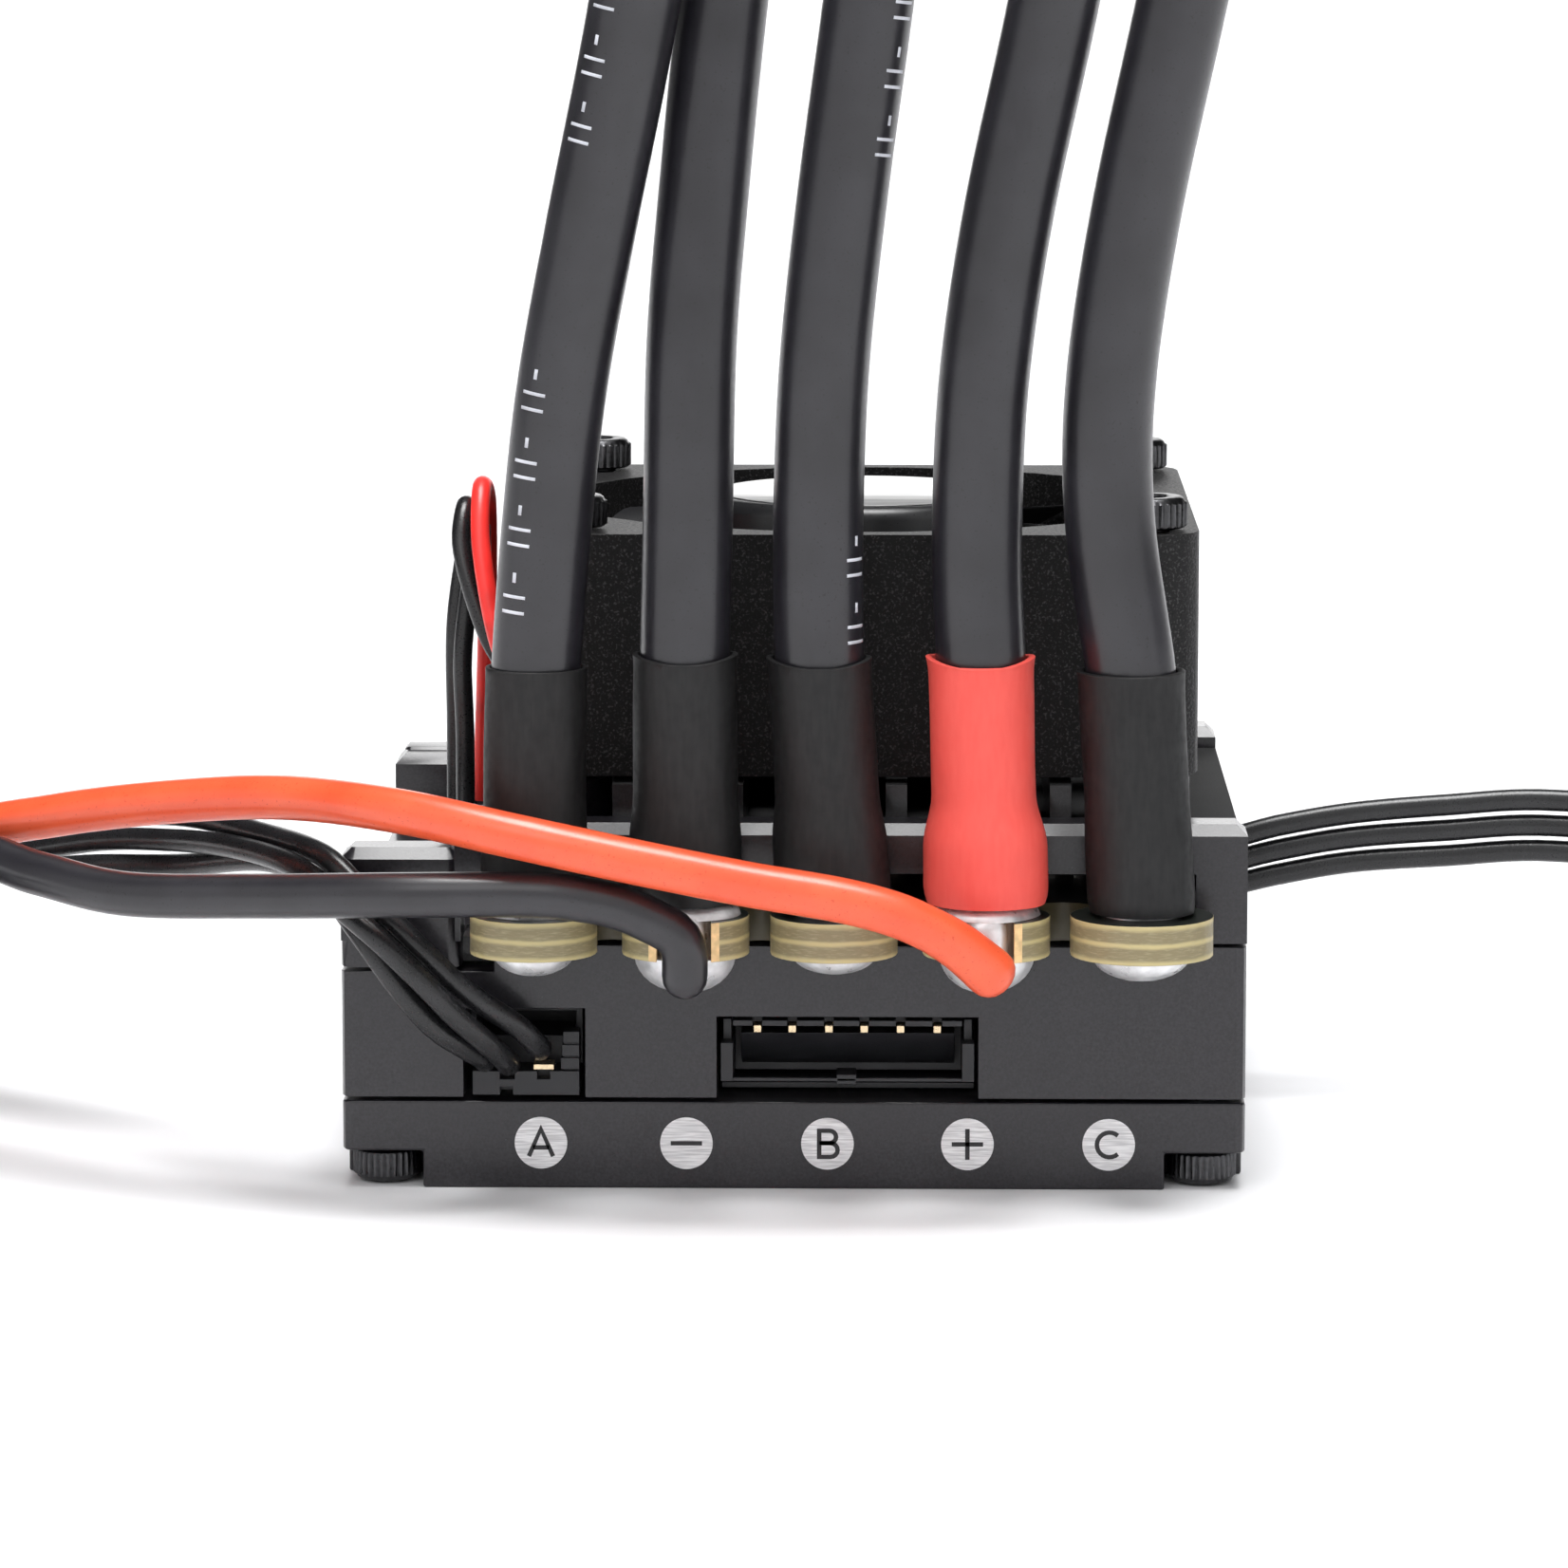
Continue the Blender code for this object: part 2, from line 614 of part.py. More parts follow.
# Three-strand leads: the middle strand's route, and the steps from it to the first strand
# and to the third.
RECEIVER_RIBBON = [
    ((-14.5, -18.1, 6.5), (-1.2, 0.0, 0.2), (1.6, 0.0, 0.8)),
    ((-14.7, -19.4, 7.1), (-1.2, 0.35, 0.0), (1.45, 0.4, 0.85)),
    ((-15.45, -20.7, 8.1), (-1.37, 0.5, -0.2), (1.4, 1.0, 0.75)),
    ((-16.95, -21.7, 9.65), (-1.07, 0.8, -0.8), (1.2, 1.2, 0.5)),
    ((-18.25, -22.2, 11.15), (-1.1, 1.0, -0.75), (1.0, 1.3, 0.3)),
    ((-19.6, -22.2, 12.5), (-0.9, 1.1, -0.55), (0.95, 1.2, 0.35)),
    ((-21.05, -21.8, 13.8), (-0.3, 1.2, -0.75), (1.0, 1.05, 0.4)),
    ((-23.1, -20.2, 15.2), (0.49, 1.0, -0.75), (1.0, 0.75, 0.75)),
    ((-25.0, -18.0, 16.5), (0.98, 0.7, -0.68), (0.98, 0.7, 0.68)),
    ((-28.35, -12.8, 16.7), (0.95, 0.6, -0.68), (0.95, 0.6, 0.68)),
    ((-32.8, -6.2, 16.1), (0.4, 0.2, -1.35), (0.4, 0.2, 1.3)),
    ((-38.0, -1.2, 15.2), (-0.5, -0.5, -1.25), (0.6, 0.8, 1.0)),
    ((-44.4, 5.0, 12.8), (-0.8, -1.0, -0.6), (0.8, 1.0, 0.6)),
    ((-52.4, 11.2, 7.6), (-0.7, -1.1, -0.5), (0.7, 1.1, 0.5)),
    ((-61.2, 16.6, 2.8), (-0.5, -1.3, -0.2), (0.5, 1.3, 0.2)),
    ((-71.0, 21.4, 0.9), (-0.2, -1.4, 0.0), (0.2, 1.4, 0.0)),
    ((-80.8, 22.0, 0.8), (0.6, -1.3, 0.0), (-0.6, 1.3, 0.0)),
    ((-88.4, 17.6, 0.8), (1.2, -0.8, 0.0), (-1.2, 0.8, 0.0)),
    ((-91.0, 10.4, 0.8), (1.45, 0.0, 0.0), (-1.45, 0.0, 0.0)),
    ((-89.4, 3.2, 1.2), (1.4, 0.3, 0.0), (-1.4, -0.3, 0.0)),
    ((-84.4, -3.6, 2.6), (1.4, 0.2, 0.0), (-1.4, -0.2, 0.0)),
    ((-82.6, -11.0, 3.6), (1.4, 0.0, 0.0), (-1.4, 0.0, 0.0)),
]

SWITCH_RIBBON = [
    ((19.6, 10.5, 12.3), (0.0, 0.0, -1.3), (0.0, 0.0, 1.3)),
    ((23.0, 10.5, 12.4), (0.0, 0.0, -1.3), (0.0, 0.0, 1.3)),
    ((26.0, 10.5, 13.1), (0.0, 0.0, -1.35), (0.0, 0.0, 1.35)),
    ((30.0, 10.5, 13.8), (0.0, 0.0, -1.35), (0.0, 0.0, 1.35)),
    ((35.0, 10.5, 14.2), (0.0, 0.0, -1.4), (0.0, 0.0, 1.4)),
    ((41.0, 10.4, 14.5), (0.0, 0.0, -1.4), (0.0, 0.0, 1.4)),
    ((49.0, 9.4, 13.6), (-0.1, -0.1, -1.4), (0.1, 0.1, 1.4)),
    ((58.0, 9.6, 8.6), (-0.4, -0.4, -1.3), (0.4, 0.4, 1.3)),
    ((66.5, 13.2, 3.4), (-0.2, -1.0, -0.9), (0.2, 1.0, 0.9)),
    ((76.0, 17.2, 1.4), (-0.1, -1.4, -0.3), (0.1, 1.4, 0.3)),
    ((85.0, 15.6, 1.2), (-0.9, -1.1, -0.2), (0.9, 1.1, 0.2)),
    ((89.8, 9.2, 1.2), (-1.4, -0.1, -0.2), (1.4, 0.1, 0.2)),
    ((88.2, 1.4, 1.6), (-1.2, 0.7, -0.1), (1.2, -0.7, 0.1)),
    ((83.4, -4.2, 3.0), (-0.6, 1.3, 0.0), (0.6, -1.3, 0.0)),
    ((77.5, -6.0, 4.0), (0.0, 1.4, 0.0), (0.0, -1.4, 0.0)),
]

FAN_ROUTES = {
    "red": [(-14.85, -6.4, 24.6), (-15.8, -5.6, 27.2), (-16.6, -4.0, 31.4), (-16.7, -1.6, 34.2),
            (-16.6, 1.4, 33.0), (-16.7, 2.9, 28.0), (-16.9, 3.0, 21.6), (-17.1, 2.7, 16.9)],
    "black": [(-14.85, -5.0, 24.4), (-16.4, -4.2, 27.0), (-17.7, -2.6, 31.0), (-17.6, -0.6, 33.2),
              (-17.7, 1.4, 31.4), (-18.3, 1.0, 26.6), (-18.3, 0.8, 21.4), (-18.3, 0.6, 16.9)],
    "signal": [(-14.85, -3.6, 24.2), (-16.2, -2.6, 26.4), (-16.7, -1.2, 30.2), (-16.9, 0.2, 32.2),
               (-17.4, -0.2, 29.0), (-17.8, -0.9, 25.2), (-17.7, -1.1, 21.2),
               (-17.7, -1.0, 16.9)],
}


def sleeve_axis(key, height):
    """Point on the leaning axis of a terminal's sleeve."""
    x, lean = TERMINALS[key]
    rise = (height - SLEEVE_BOTTOM) / (SLEEVES[key][0] - SLEEVE_BOTTOM)
    return (x + lean * rise, LOBE_Y, height)


def main_wires():
    for key, free_route in WIRE_ROUTES.items():
        heights = (SLEEVE_BOTTOM + 0.15, 19.0, 23.0, SLEEVES[key][0] - 0.2)
        route = [sleeve_axis(key, height) for height in heights] + free_route
        tube(f"wire_{key}", route, MAIN_WIRE_R, black_silicone(), resolution=3)


def capacitor_leads():
    tube("cap_lead_minus", CAP_ROUTES["minus"], CAP_LEAD_R, black_silicone())
    tube("cap_lead_plus", CAP_ROUTES["plus"], CAP_LEAD_R, red_silicone())


def strand_leads():
    for name, ribbon in (("receiver_lead", RECEIVER_RIBBON), ("switch_lead", SWITCH_RIBBON)):
        for k in (1, 2, 3):
            route = [Vector(middle) + Vector((first, (0, 0, 0), third)[k - 1])
                     for middle, first, third in ribbon]
            tube(f"{name}_{k}", route, STRAND_R, black_plastic())


def capacitor_module():
    """Low-resistance capacitors on a small board, lying beside the controller."""
    x, y = CAP_MODULE
    box("cap_board", (x + 11.2, x + 12.8), (y - 9.5, y + 9.5), (0.2, 10.2), board_laminate())
    can = material("capacitor_sleeve", (0.02, 0.02, 0.025), 0.35)
    for k, side in enumerate((-1, 1), start=1):
        item = rod(f"capacitor_{k}", (0, 0), 5.0, (-10.0, 10.0), can, sides=28)
        item.matrix_world = (Matrix.Translation(Vector((x + 0.8, y + side * 5.2, 5.15)) * MM)
                             @ Matrix.Rotation(math.radians(90), 4, "Y"))


def servo_plug():
    """Three-way plug on the far end of the receiver lead."""
    plug = box("servo_plug", (-86.5, -78.7), (-25.4, -11.5), (2.2, 5.0), black_plastic())
    cut_box(plug, (-86.0, -79.2), (-26.0, -24.4), (2.8, 4.4))
    return plug


def switch():
    """Power switch: a small case with a sprung push button in its top."""
    x, y = SWITCH
    case = box("switch_case", (x - 11.0, x + 11.0), (y - 6.0, y + 6.0), (0.0, 8.0),
               black_plastic(), corner=1.2, top=0.6)
    cut_rod(case, SWITCH, 3.3, (4.0, 9.0), sides=24)
    button = rod("switch_button", SWITCH, 3.0, (4.0 + SWITCH_TRAVEL + CLEAR, 9.4),
                 material("button_grey", (0.3, 0.3, 0.31), 0.5))
    return case, button


# ---------------------------------------------------------------- fan


def fan_corners():
    return [(FAN_CENTRE[0] + dx * FAN_HOLE_OFFSET, FAN_CENTRE[1] + dy * FAN_HOLE_OFFSET)
            for dy in (-1, 1) for dx in (-1, 1)]


def fan_frame():
    half = FAN_SIZE / 2
    x, y = FAN_CENTRE
    finish = material("fan_plastic", (0.01, 0.01, 0.01), 0.6)
    frame = box("fan_frame", (x - half, x + half), (y - half, y + half),
                (FAN_BOTTOM, FAN_TOP), finish, corner=FAN_CORNER_R, segments=4)
    cut_rod(frame, FAN_CENTRE, FAN_BORE_R, (FAN_BOTTOM - 1, FAN_TOP + 1), sides=40)
    join(frame, rod("fan_floor", FAN_CENTRE, HUB_R, (FAN_BOTTOM, FAN_BOTTOM + 1.4), sides=32))
    for angle in (45, 135, 225, 315):
        strut = box("fan_strut", (HUB_R - 1.0, FAN_BORE_R + 1.0), (-0.9, 0.9),
                    (FAN_BOTTOM, FAN_BOTTOM + 1.4))
        strut.matrix_world = (Matrix.Translation(Vector((x, y, 0.0)) * MM)
                              @ Matrix.Rotation(math.radians(angle), 4, "Z"))
        join(frame, strut)
    for spot in fan_corners():
        cut_rod(frame, spot, SCREW_R + 0.2, (FAN_BOTTOM - 1, FAN_TOP + 1), sides=16)
    return frame


def fan_blade(name, angle):
    """One curved blade, lofted between a root and a tip section that are turned apart."""
    stations, chord_cut = 5, 6
    inner, outer = HUB_R - 0.6, FAN_BORE_R - 0.7
    half = 0.45
    work = bmesh.new()
    rings = []
    for i in range(stations):
        t = i / (stations - 1)
        radius = inner + (outer - inner) * t
        span = math.radians(20.0 - 4.0 * t)
        tall = 3.4 - 0.5 * t
        upper, under = [], []
        for j in range(chord_cut):
            s = 2 * j / (chord_cut - 1) - 1
            turn = angle + s * span + 0.12 * t
            height = 28.6 - s * tall + 0.8 * (1 - s * s)
            place = (radius * math.cos(turn) * MM, radius * math.sin(turn) * MM)
            upper.append(work.verts.new((*place, (height + half) * MM)))
            under.append(work.verts.new((*place, (height - half) * MM)))
        rings.append(upper + under[::-1])
    size = 2 * chord_cut
    for low, high in zip(rings, rings[1:]):
        for j in range(size):
            k = (j + 1) % size
            work.faces.new((low[j], low[k], high[k], high[j]))
    work.faces.new(rings[0])
    work.faces.new(rings[-1][::-1])
    return finish_mesh(name, work, None)


def fan_rotor():
    """Hub cup with seven blades and its shaft, turning about the fan's upright axis."""
    finish = material("rotor_plastic", (0.014, 0.014, 0.014), 0.35)
    profile = [(0.0, 33.4), (HUB_R - 0.6, 33.4), (HUB_R, 32.8), (HUB_R, 23.4),
               (HUB_R - 1.2, 23.4), (HUB_R - 1.2, 31.6), (0.75, 31.6), (0.75, 22.3),
               (0.0, 22.3)]
    rotor = turned("fan_rotor", FAN_CENTRE, profile, finish, steps=36)
    for k in range(BLADES):
        blade = fan_blade("fan_blade", 2 * math.pi * k / BLADES)
        blade.location = rotor.location
        join(rotor, blade)
    return rotor


def fan_stator():
    """Coils on the bearing tube, inside the hub."""
    copper = material("copper_coils", (0.6, 0.25, 0.1), 0.4, 0.8)
    profile = [(1.1, 31.0), (5.2, 31.0), (6.6, 30.2), (6.6, 24.6), (5.2, 23.8), (2.2, 23.8),
               (2.2, 22.2), (1.1, 22.2), (1.1, 31.0)]
    return turned("fan_stator", FAN_CENTRE, profile, copper)


def fan_screws():
    first = rod("fan_screw_1", (0, 0), FAN_HEAD_R, (FAN_TOP + 0.15, FAN_TOP + 1.75),
                bare_steel())
    join(first, rod("fan_screw_shank", (0, 0), SCREW_R - 0.1,
                    (COVER_FLOOR + 0.6, FAN_TOP + 0.6), sides=12))
    cut_rod(first, (0, 0), 0.9, (FAN_TOP + 0.9, FAN_TOP + 3.0), sides=6)
    bpy.context.view_layer.update()
    solid = first.evaluated_get(bpy.context.evaluated_depsgraph_get())
    shape = bpy.data.meshes.new_from_object(solid)
    first.modifiers.clear()
    first.data = shape
    spots = fan_corners()
    first.location = (spots[0][0] * MM, spots[0][1] * MM, 0.0)
    for k, (x, y) in enumerate(spots[1:], start=2):
        copy_of(f"fan_screw_{k}", first, (x, y, 0.0))


def fan_wiring():
    """Fan wires, looped over and plugged in on the low deck beside the fan."""
    box("fan_plug", (-19.6, -16.5), (-2.2, 3.4), (LOWER_TOP + 0.6, 16.6),
        black_plastic())
    colours = {
        "red": red_silicone(),
        "black": black_silicone(),
        "signal": material("grey_wire", (0.05, 0.05, 0.05), 0.5),
    }
    for key, route in FAN_ROUTES.items():
        tube(f"fan_wire_{key}", route, FAN_WIRE_R, colours[key])


base_plate()
lower_case()
top_cover()
case_screws()
power_board()
solder_joints()
inner_boards()
sensor_socket()
receiver_socket()
sleeves()
main_wires()
capacitor_leads()
strand_leads()
capacitor_module()
servo_plug()
switch()
fan_frame()
fan_rotor()
fan_stator()
fan_screws()
fan_wiring()
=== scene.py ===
"""The looks of the speed controller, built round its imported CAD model.

Sizes are in millimetres, in the CAD model's frame: the origin is on the floor under the middle
of the case, the terminals face -Y, +X is to their right and +Z is up. MM turns them into metres.
"""

import math
from bisect import bisect_right

import bmesh
import bpy
from mathutils import Matrix, Vector


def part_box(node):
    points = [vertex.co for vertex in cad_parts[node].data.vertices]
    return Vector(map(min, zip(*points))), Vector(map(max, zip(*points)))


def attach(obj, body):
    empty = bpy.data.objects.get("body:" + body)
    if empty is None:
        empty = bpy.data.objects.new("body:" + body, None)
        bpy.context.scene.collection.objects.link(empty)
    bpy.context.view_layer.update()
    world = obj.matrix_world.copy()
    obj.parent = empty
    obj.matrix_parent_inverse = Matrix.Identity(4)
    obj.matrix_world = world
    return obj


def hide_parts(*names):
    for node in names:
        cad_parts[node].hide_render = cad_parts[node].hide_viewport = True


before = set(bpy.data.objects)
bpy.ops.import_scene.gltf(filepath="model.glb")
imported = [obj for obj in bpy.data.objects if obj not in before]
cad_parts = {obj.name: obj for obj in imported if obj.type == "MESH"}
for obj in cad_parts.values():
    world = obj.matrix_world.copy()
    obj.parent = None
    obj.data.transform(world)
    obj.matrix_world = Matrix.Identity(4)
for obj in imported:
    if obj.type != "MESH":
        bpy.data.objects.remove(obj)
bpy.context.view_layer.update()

MM = 0.001
TURN = 2 * math.pi

# Terminals, from left to right: the sleeve's x at its foot, and how far its top leans to +X
TERMINALS = {"a": (-13.0, 0.2), "minus": (-5.35, 0.0), "b": (2.1, -0.75), "plus": (9.75, -0.35),
             "c": (17.55, -0.65)}
TERMINAL_Y = -21.1
POWER_TERMINALS = ("minus", "plus")
WIRE_R = 2.25
STRAND_R = 0.6
FAN_WIRE_R = 0.5
CAP_LEAD_R = {"minus": 1.14, "plus": 1.13}
LEAD_FLARE = {"minus": 0.0, "plus": 0.2}

# Shrunk sleeves: how far the rim dips at the front and the back, and how far it flares
RIM_DIP = {"a": 0.0, "minus": 0.3, "b": 0.35, "plus": 0.4, "c": 0.05}
RIM_FLARE = {"a": 0.0, "minus": 0.04, "b": 0.04, "plus": 0.1, "c": 0.05}


# ---------------------------------------------------------------- camera, light and floor


def camera():
    data = bpy.data.cameras.new("camera")
    data.lens = 158.86
    data.sensor_width = 36.0
    data.clip_start = 0.01
    item = bpy.data.objects.new("camera", data)
    item.location = Vector((6.17, -363.7, 72.6)) * MM
    item.rotation_euler = (math.radians(81.5), 0.0, math.radians(1.1))
    bpy.context.scene.collection.objects.link(item)
    bpy.context.scene.camera = item


def area_light(name, place, aim, size, radiance):
    """Square soft light whose surface has the given radiance."""
    data = bpy.data.lights.new(name, "AREA")
    data.size = size * MM
    data.energy = radiance * math.pi * (size * MM) ** 2
    item = bpy.data.objects.new(name, data)
    item.location = Vector(place) * MM
    item.rotation_euler = (Vector(aim) - Vector(place)).to_track_quat("-Z", "Y").to_euler()
    item.visible_camera = False
    bpy.context.scene.collection.objects.link(item)


def map_range(tree, source, limits, kind="LINEAR"):
    """Output that runs between the last two limits as its source runs between the first two."""
    item = tree.nodes.new("ShaderNodeMapRange")
    item.interpolation_type = kind
    for socket, value in zip(("From Min", "From Max", "To Min", "To Max"), limits):
        item.inputs[socket].default_value = value
    tree.links.new(source, item.inputs["Value"])
    return item.outputs["Result"]


def studio():
    """White backdrop, bright soft light from the front and above, and dark side walls."""
    world = bpy.data.worlds.new("studio")
    bpy.context.scene.world = world
    world.use_nodes = True
    nodes, links = world.node_tree.nodes, world.node_tree.links

    def ramp(source, *limits):
        return map_range(world.node_tree, source, limits, "SMOOTHSTEP")

    def largest(first, second):
        item = nodes.new("ShaderNodeMath")
        item.operation = "MAXIMUM"
        links.new(first, item.inputs[0])
        links.new(second, item.inputs[1])
        return item.outputs[0]

    direction = nodes.new("ShaderNodeSeparateXYZ")
    links.new(nodes.new("ShaderNodeTexCoord").outputs["Generated"], direction.inputs[0])
    x, y, z = direction.outputs
    back = ramp(y, 0.90, 0.96, 0.02, 2.2)
    front = ramp(y, 0.0, -0.35, 0.02, 0.85)
    above = ramp(z, 0.945, 0.975, 0.0, 16.0)
    light = largest(largest(back, front), above)
    seen = nodes.new("ShaderNodeLightPath").outputs["Is Camera Ray"]
    strength = largest(light, seen)
    links.new(strength, nodes["Background"].inputs["Strength"])
    nodes["Background"].inputs["Color"].default_value = (1.0, 1.0, 1.0, 1.0)
    area_light("key", (-260, -520, 560), (0, 0, 20), 320, 1.6)
    bpy.context.scene.view_settings.view_transform = "Standard"


def floor():
    half = 2.4
    data = bpy.data.meshes.new("floor")
    corners = [(-half, -half, 0), (half, -half, 0), (half, half, 0), (-half, half, 0)]
    data.from_pydata(corners, [], [(0, 1, 2, 3)])
    paper = bpy.data.materials.new("paper")
    paper.use_nodes = True
    shader = paper.node_tree.nodes["Principled BSDF"]
    shader.inputs["Base Color"].default_value = (0.84, 0.842, 0.86, 1.0)
    shader.inputs["Roughness"].default_value = 0.9
    data.materials.append(paper)
    item = bpy.data.objects.new("floor", data)
    bpy.context.scene.collection.objects.link(item)


# ---------------------------------------------------------------- materials


class Finish:
    """A node material built up round a Principled shader."""

    def __init__(self, name, colour, roughness, metallic=0.0, **sockets):
        self.material = bpy.data.materials.new(name)
        self.material.use_nodes = True
        self.tree = self.material.node_tree
        self.shader = self.tree.nodes["Principled BSDF"]
        self.shader.inputs["Base Color"].default_value = (*colour, 1.0)
        self.shader.inputs["Roughness"].default_value = roughness
        self.shader.inputs["Metallic"].default_value = metallic
        for socket, value in sockets.items():
            self.shader.inputs[socket.replace("_", " ")].default_value = value
        self.place = self.tree.nodes.new("ShaderNodeTexCoord").outputs["Object"]
        self.normal = None

    def link(self, source, target):
        self.tree.links.new(source, target)

    def node(self, kind, **sockets):
        item = self.tree.nodes.new("ShaderNode" + kind)
        for socket, value in sockets.items():
            item.inputs[socket].default_value = value
        return item

    def noise(self, size, detail=2.0, stretch=(1.0, 1.0, 1.0)):
        """Noise whose blobs are about size across, longer along an axis whose stretch is large."""
        mapping = self.node("Mapping")
        mapping.inputs["Scale"].default_value = [1.0 / (size * MM * s) for s in stretch]
        self.link(self.place, mapping.inputs["Vector"])
        item = self.node("TexNoise", Scale=1.0, Detail=detail)
        self.link(mapping.outputs["Vector"], item.inputs["Vector"])
        return item.outputs["Fac"]

    def spread(self, source, start, stop, low=0.0, high=1.0):
        return map_range(self.tree, source, (start, stop, low, high))

    def mix(self, factor, low, high):
        """Colour from low to high, each a colour or an earlier mix's output."""
        item = self.tree.nodes.new("ShaderNodeMix")
        item.data_type = "RGBA"
        self.link(factor, item.inputs[0])
        for socket, value in ((item.inputs[6], low), (item.inputs[7], high)):
            if isinstance(value, tuple):
                socket.default_value = (*value, 1.0)
            else:
                self.link(value, socket)
        return item.outputs[2]

    def colour(self, source):
        self.link(source, self.shader.inputs["Base Color"])
        return self

    def roughness(self, source):
        self.link(source, self.shader.inputs["Roughness"])
        return self

    def bump(self, source, depth):
        """Relief of the given depth, on top of any made before."""
        item = self.node("Bump", Strength=1.0, Distance=depth * MM)
        self.link(source, item.inputs["Height"])
        if self.normal:
            self.link(self.normal, item.inputs["Normal"])
        self.normal = item.outputs["Normal"]
        self.link(self.normal, self.shader.inputs["Normal"])
        return self


def anodised():
    made = Finish("black_anodised", (0.016, 0.015, 0.018), 0.3, IOR=1.42, Coat_Weight=0.4,
                  Coat_Roughness=0.16)
    grain = made.noise(0.14, detail=3.0)
    cloud = made.noise(5.0)
    shade = made.mix(made.spread(grain, 0.3, 0.75), (0.006, 0.0053, 0.0072), (0.024, 0.0215, 0.027))
    made.colour(made.mix(made.spread(cloud, 0.3, 0.7, 0.0, 0.35), shade, (0.011, 0.010, 0.013)))
    made.roughness(made.spread(grain, 0.2, 0.8, 0.26, 0.38))
    return made.bump(grain, 0.006).material


def moulded(name, shade, roughness, grain=0.1, depth=0.006):
    """Moulded plastic with a fine grain."""
    made = Finish(name, shade, roughness)
    pores = made.noise(grain, detail=2.0)
    lighter = tuple(1.7 * c for c in shade)
    made.colour(made.mix(made.spread(made.noise(2.5), 0.3, 0.7), shade, lighter))
    made.roughness(made.spread(pores, 0.2, 0.8, roughness - 0.05, roughness + 0.1))
    return made.bump(pores, depth).material


def sparked():
    """Fan plastic from a spark-eroded mould. Its sparkle is painted glints: pale flecks in its
    colour.
    """
    made = Finish("spark_textured_plastic", (0.008, 0.0077, 0.008), 0.5, IOR=1.36)
    pits = made.noise(0.17, detail=3.0)
    # Painted glints: pale flecks in the colour stand in for light glinting off the pits.
    painted_glints = made.spread(made.noise(0.13, detail=1.0), 0.55, 0.75)
    made.colour(made.mix(painted_glints, (0.004, 0.0038, 0.004), (0.06, 0.058, 0.06)))
    made.roughness(made.spread(pits, 0.2, 0.8, 0.36, 0.6))
    return made.bump(pits, 0.045).material


def silicone(name, dark, light, speck):
    """Satin silicone insulation, uneven in tone, with small dark specks."""
    made = Finish(name, dark, 0.34, IOR=1.5, Coat_Weight=0.4, Coat_Roughness=0.2)
    tone = made.mix(made.spread(made.noise(3.0), 0.3, 0.7), dark, light)
    specks = made.spread(made.noise(0.16, detail=1.0, stretch=(1, 1, 0.8)), 0.66, 0.74)
    made.colour(made.mix(specks, tone, speck))
    made.roughness(made.spread(made.noise(0.3, detail=3.0), 0.2, 0.8, 0.3, 0.42))
    return made.bump(made.noise(0.22, detail=3.0), 0.004).material


def shrunk(name, dark, light):
    """Heat-shrunk tubing: dull, with upright drawing lines."""
    made = Finish(name, dark, 0.5, IOR=1.42)
    lines = made.noise(0.3, detail=3.0, stretch=(1, 1, 5))
    made.colour(made.mix(made.spread(lines, 0.35, 0.65), dark, light))
    made.roughness(made.spread(made.noise(0.5), 0.3, 0.7, 0.46, 0.6))
    return made.bump(lines, 0.004).material


def metal(name, colour, roughness, size=0.4, depth=0.01, metallic=1.0):
    """Metal with soft unevenness."""
    made = Finish(name, colour, roughness, metallic)
    uneven = made.noise(size, detail=3.0)
    darker = tuple(0.72 * c for c in colour)
    made.colour(made.mix(made.spread(uneven, 0.35, 0.65), darker, colour))
    made.roughness(made.spread(uneven, 0.3, 0.7, roughness * 0.8, roughness * 1.3))
    return made.bump(uneven, depth).material


def laminate_edge():
    """Milled edge of the thick board: resin at the faces and the middle, glass cloth between."""
    low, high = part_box("power_board")
    made = Finish("laminate_edge", (0.2, 0.17, 0.08), 0.38)
    height = made.node("SeparateXYZ")
    made.link(made.place, height.inputs[0])
    waves = made.noise(1.6, detail=2.0, stretch=(1, 1, 0.4))
    shifted = made.node("Math")
    shifted.operation = "MULTIPLY_ADD"
    made.link(waves, shifted.inputs[0])
    shifted.inputs[1].default_value = 0.16 * MM
    made.link(height.outputs["Z"], shifted.inputs[2])
    layers = made.node("ValToRGB")
    share = made.spread(shifted.outputs[0], low.z, high.z + 0.12 * MM)
    made.link(share, layers.inputs["Fac"])
    resin, cloth = (0.56, 0.47, 0.23, 1), (0.26, 0.215, 0.115, 1)
    stops = ((0.0, resin), (0.10, resin), (0.18, cloth), (0.42, cloth), (0.48, resin),
             (0.53, resin), (0.58, cloth), (0.82, cloth), (0.92, resin))
    ramp = layers.color_ramp
    ramp.elements[0].position, ramp.elements[0].color = stops[0]
    ramp.elements[1].position, ramp.elements[1].color = stops[-1]
    for position, colour in stops[1:-1]:
        ramp.elements.new(position).color = colour
    fibres = made.noise(0.5, detail=4.0, stretch=(1, 1, 0.15))
    made.colour(made.mix(made.spread(fibres, 0.5, 0.75, 0.0, 0.55), layers.outputs["Color"],
                         (0.46, 0.41, 0.25)))
    made.roughness(made.spread(fibres, 0.3, 0.7, 0.28, 0.5))
    return made.bump(made.noise(0.35, detail=3.0, stretch=(1, 1, 0.5)), 0.03).material


def solder_mask(name, colour):
    """Board face under its lacquer."""
    made = Finish(name, colour, 0.3, Coat_Weight=0.3)
    weave = made.noise(0.35, detail=2.0)
    lighter = tuple(1.6 * c for c in colour)
    made.colour(made.mix(made.spread(weave, 0.35, 0.65), colour, lighter))
    return made.bump(weave, 0.008).material


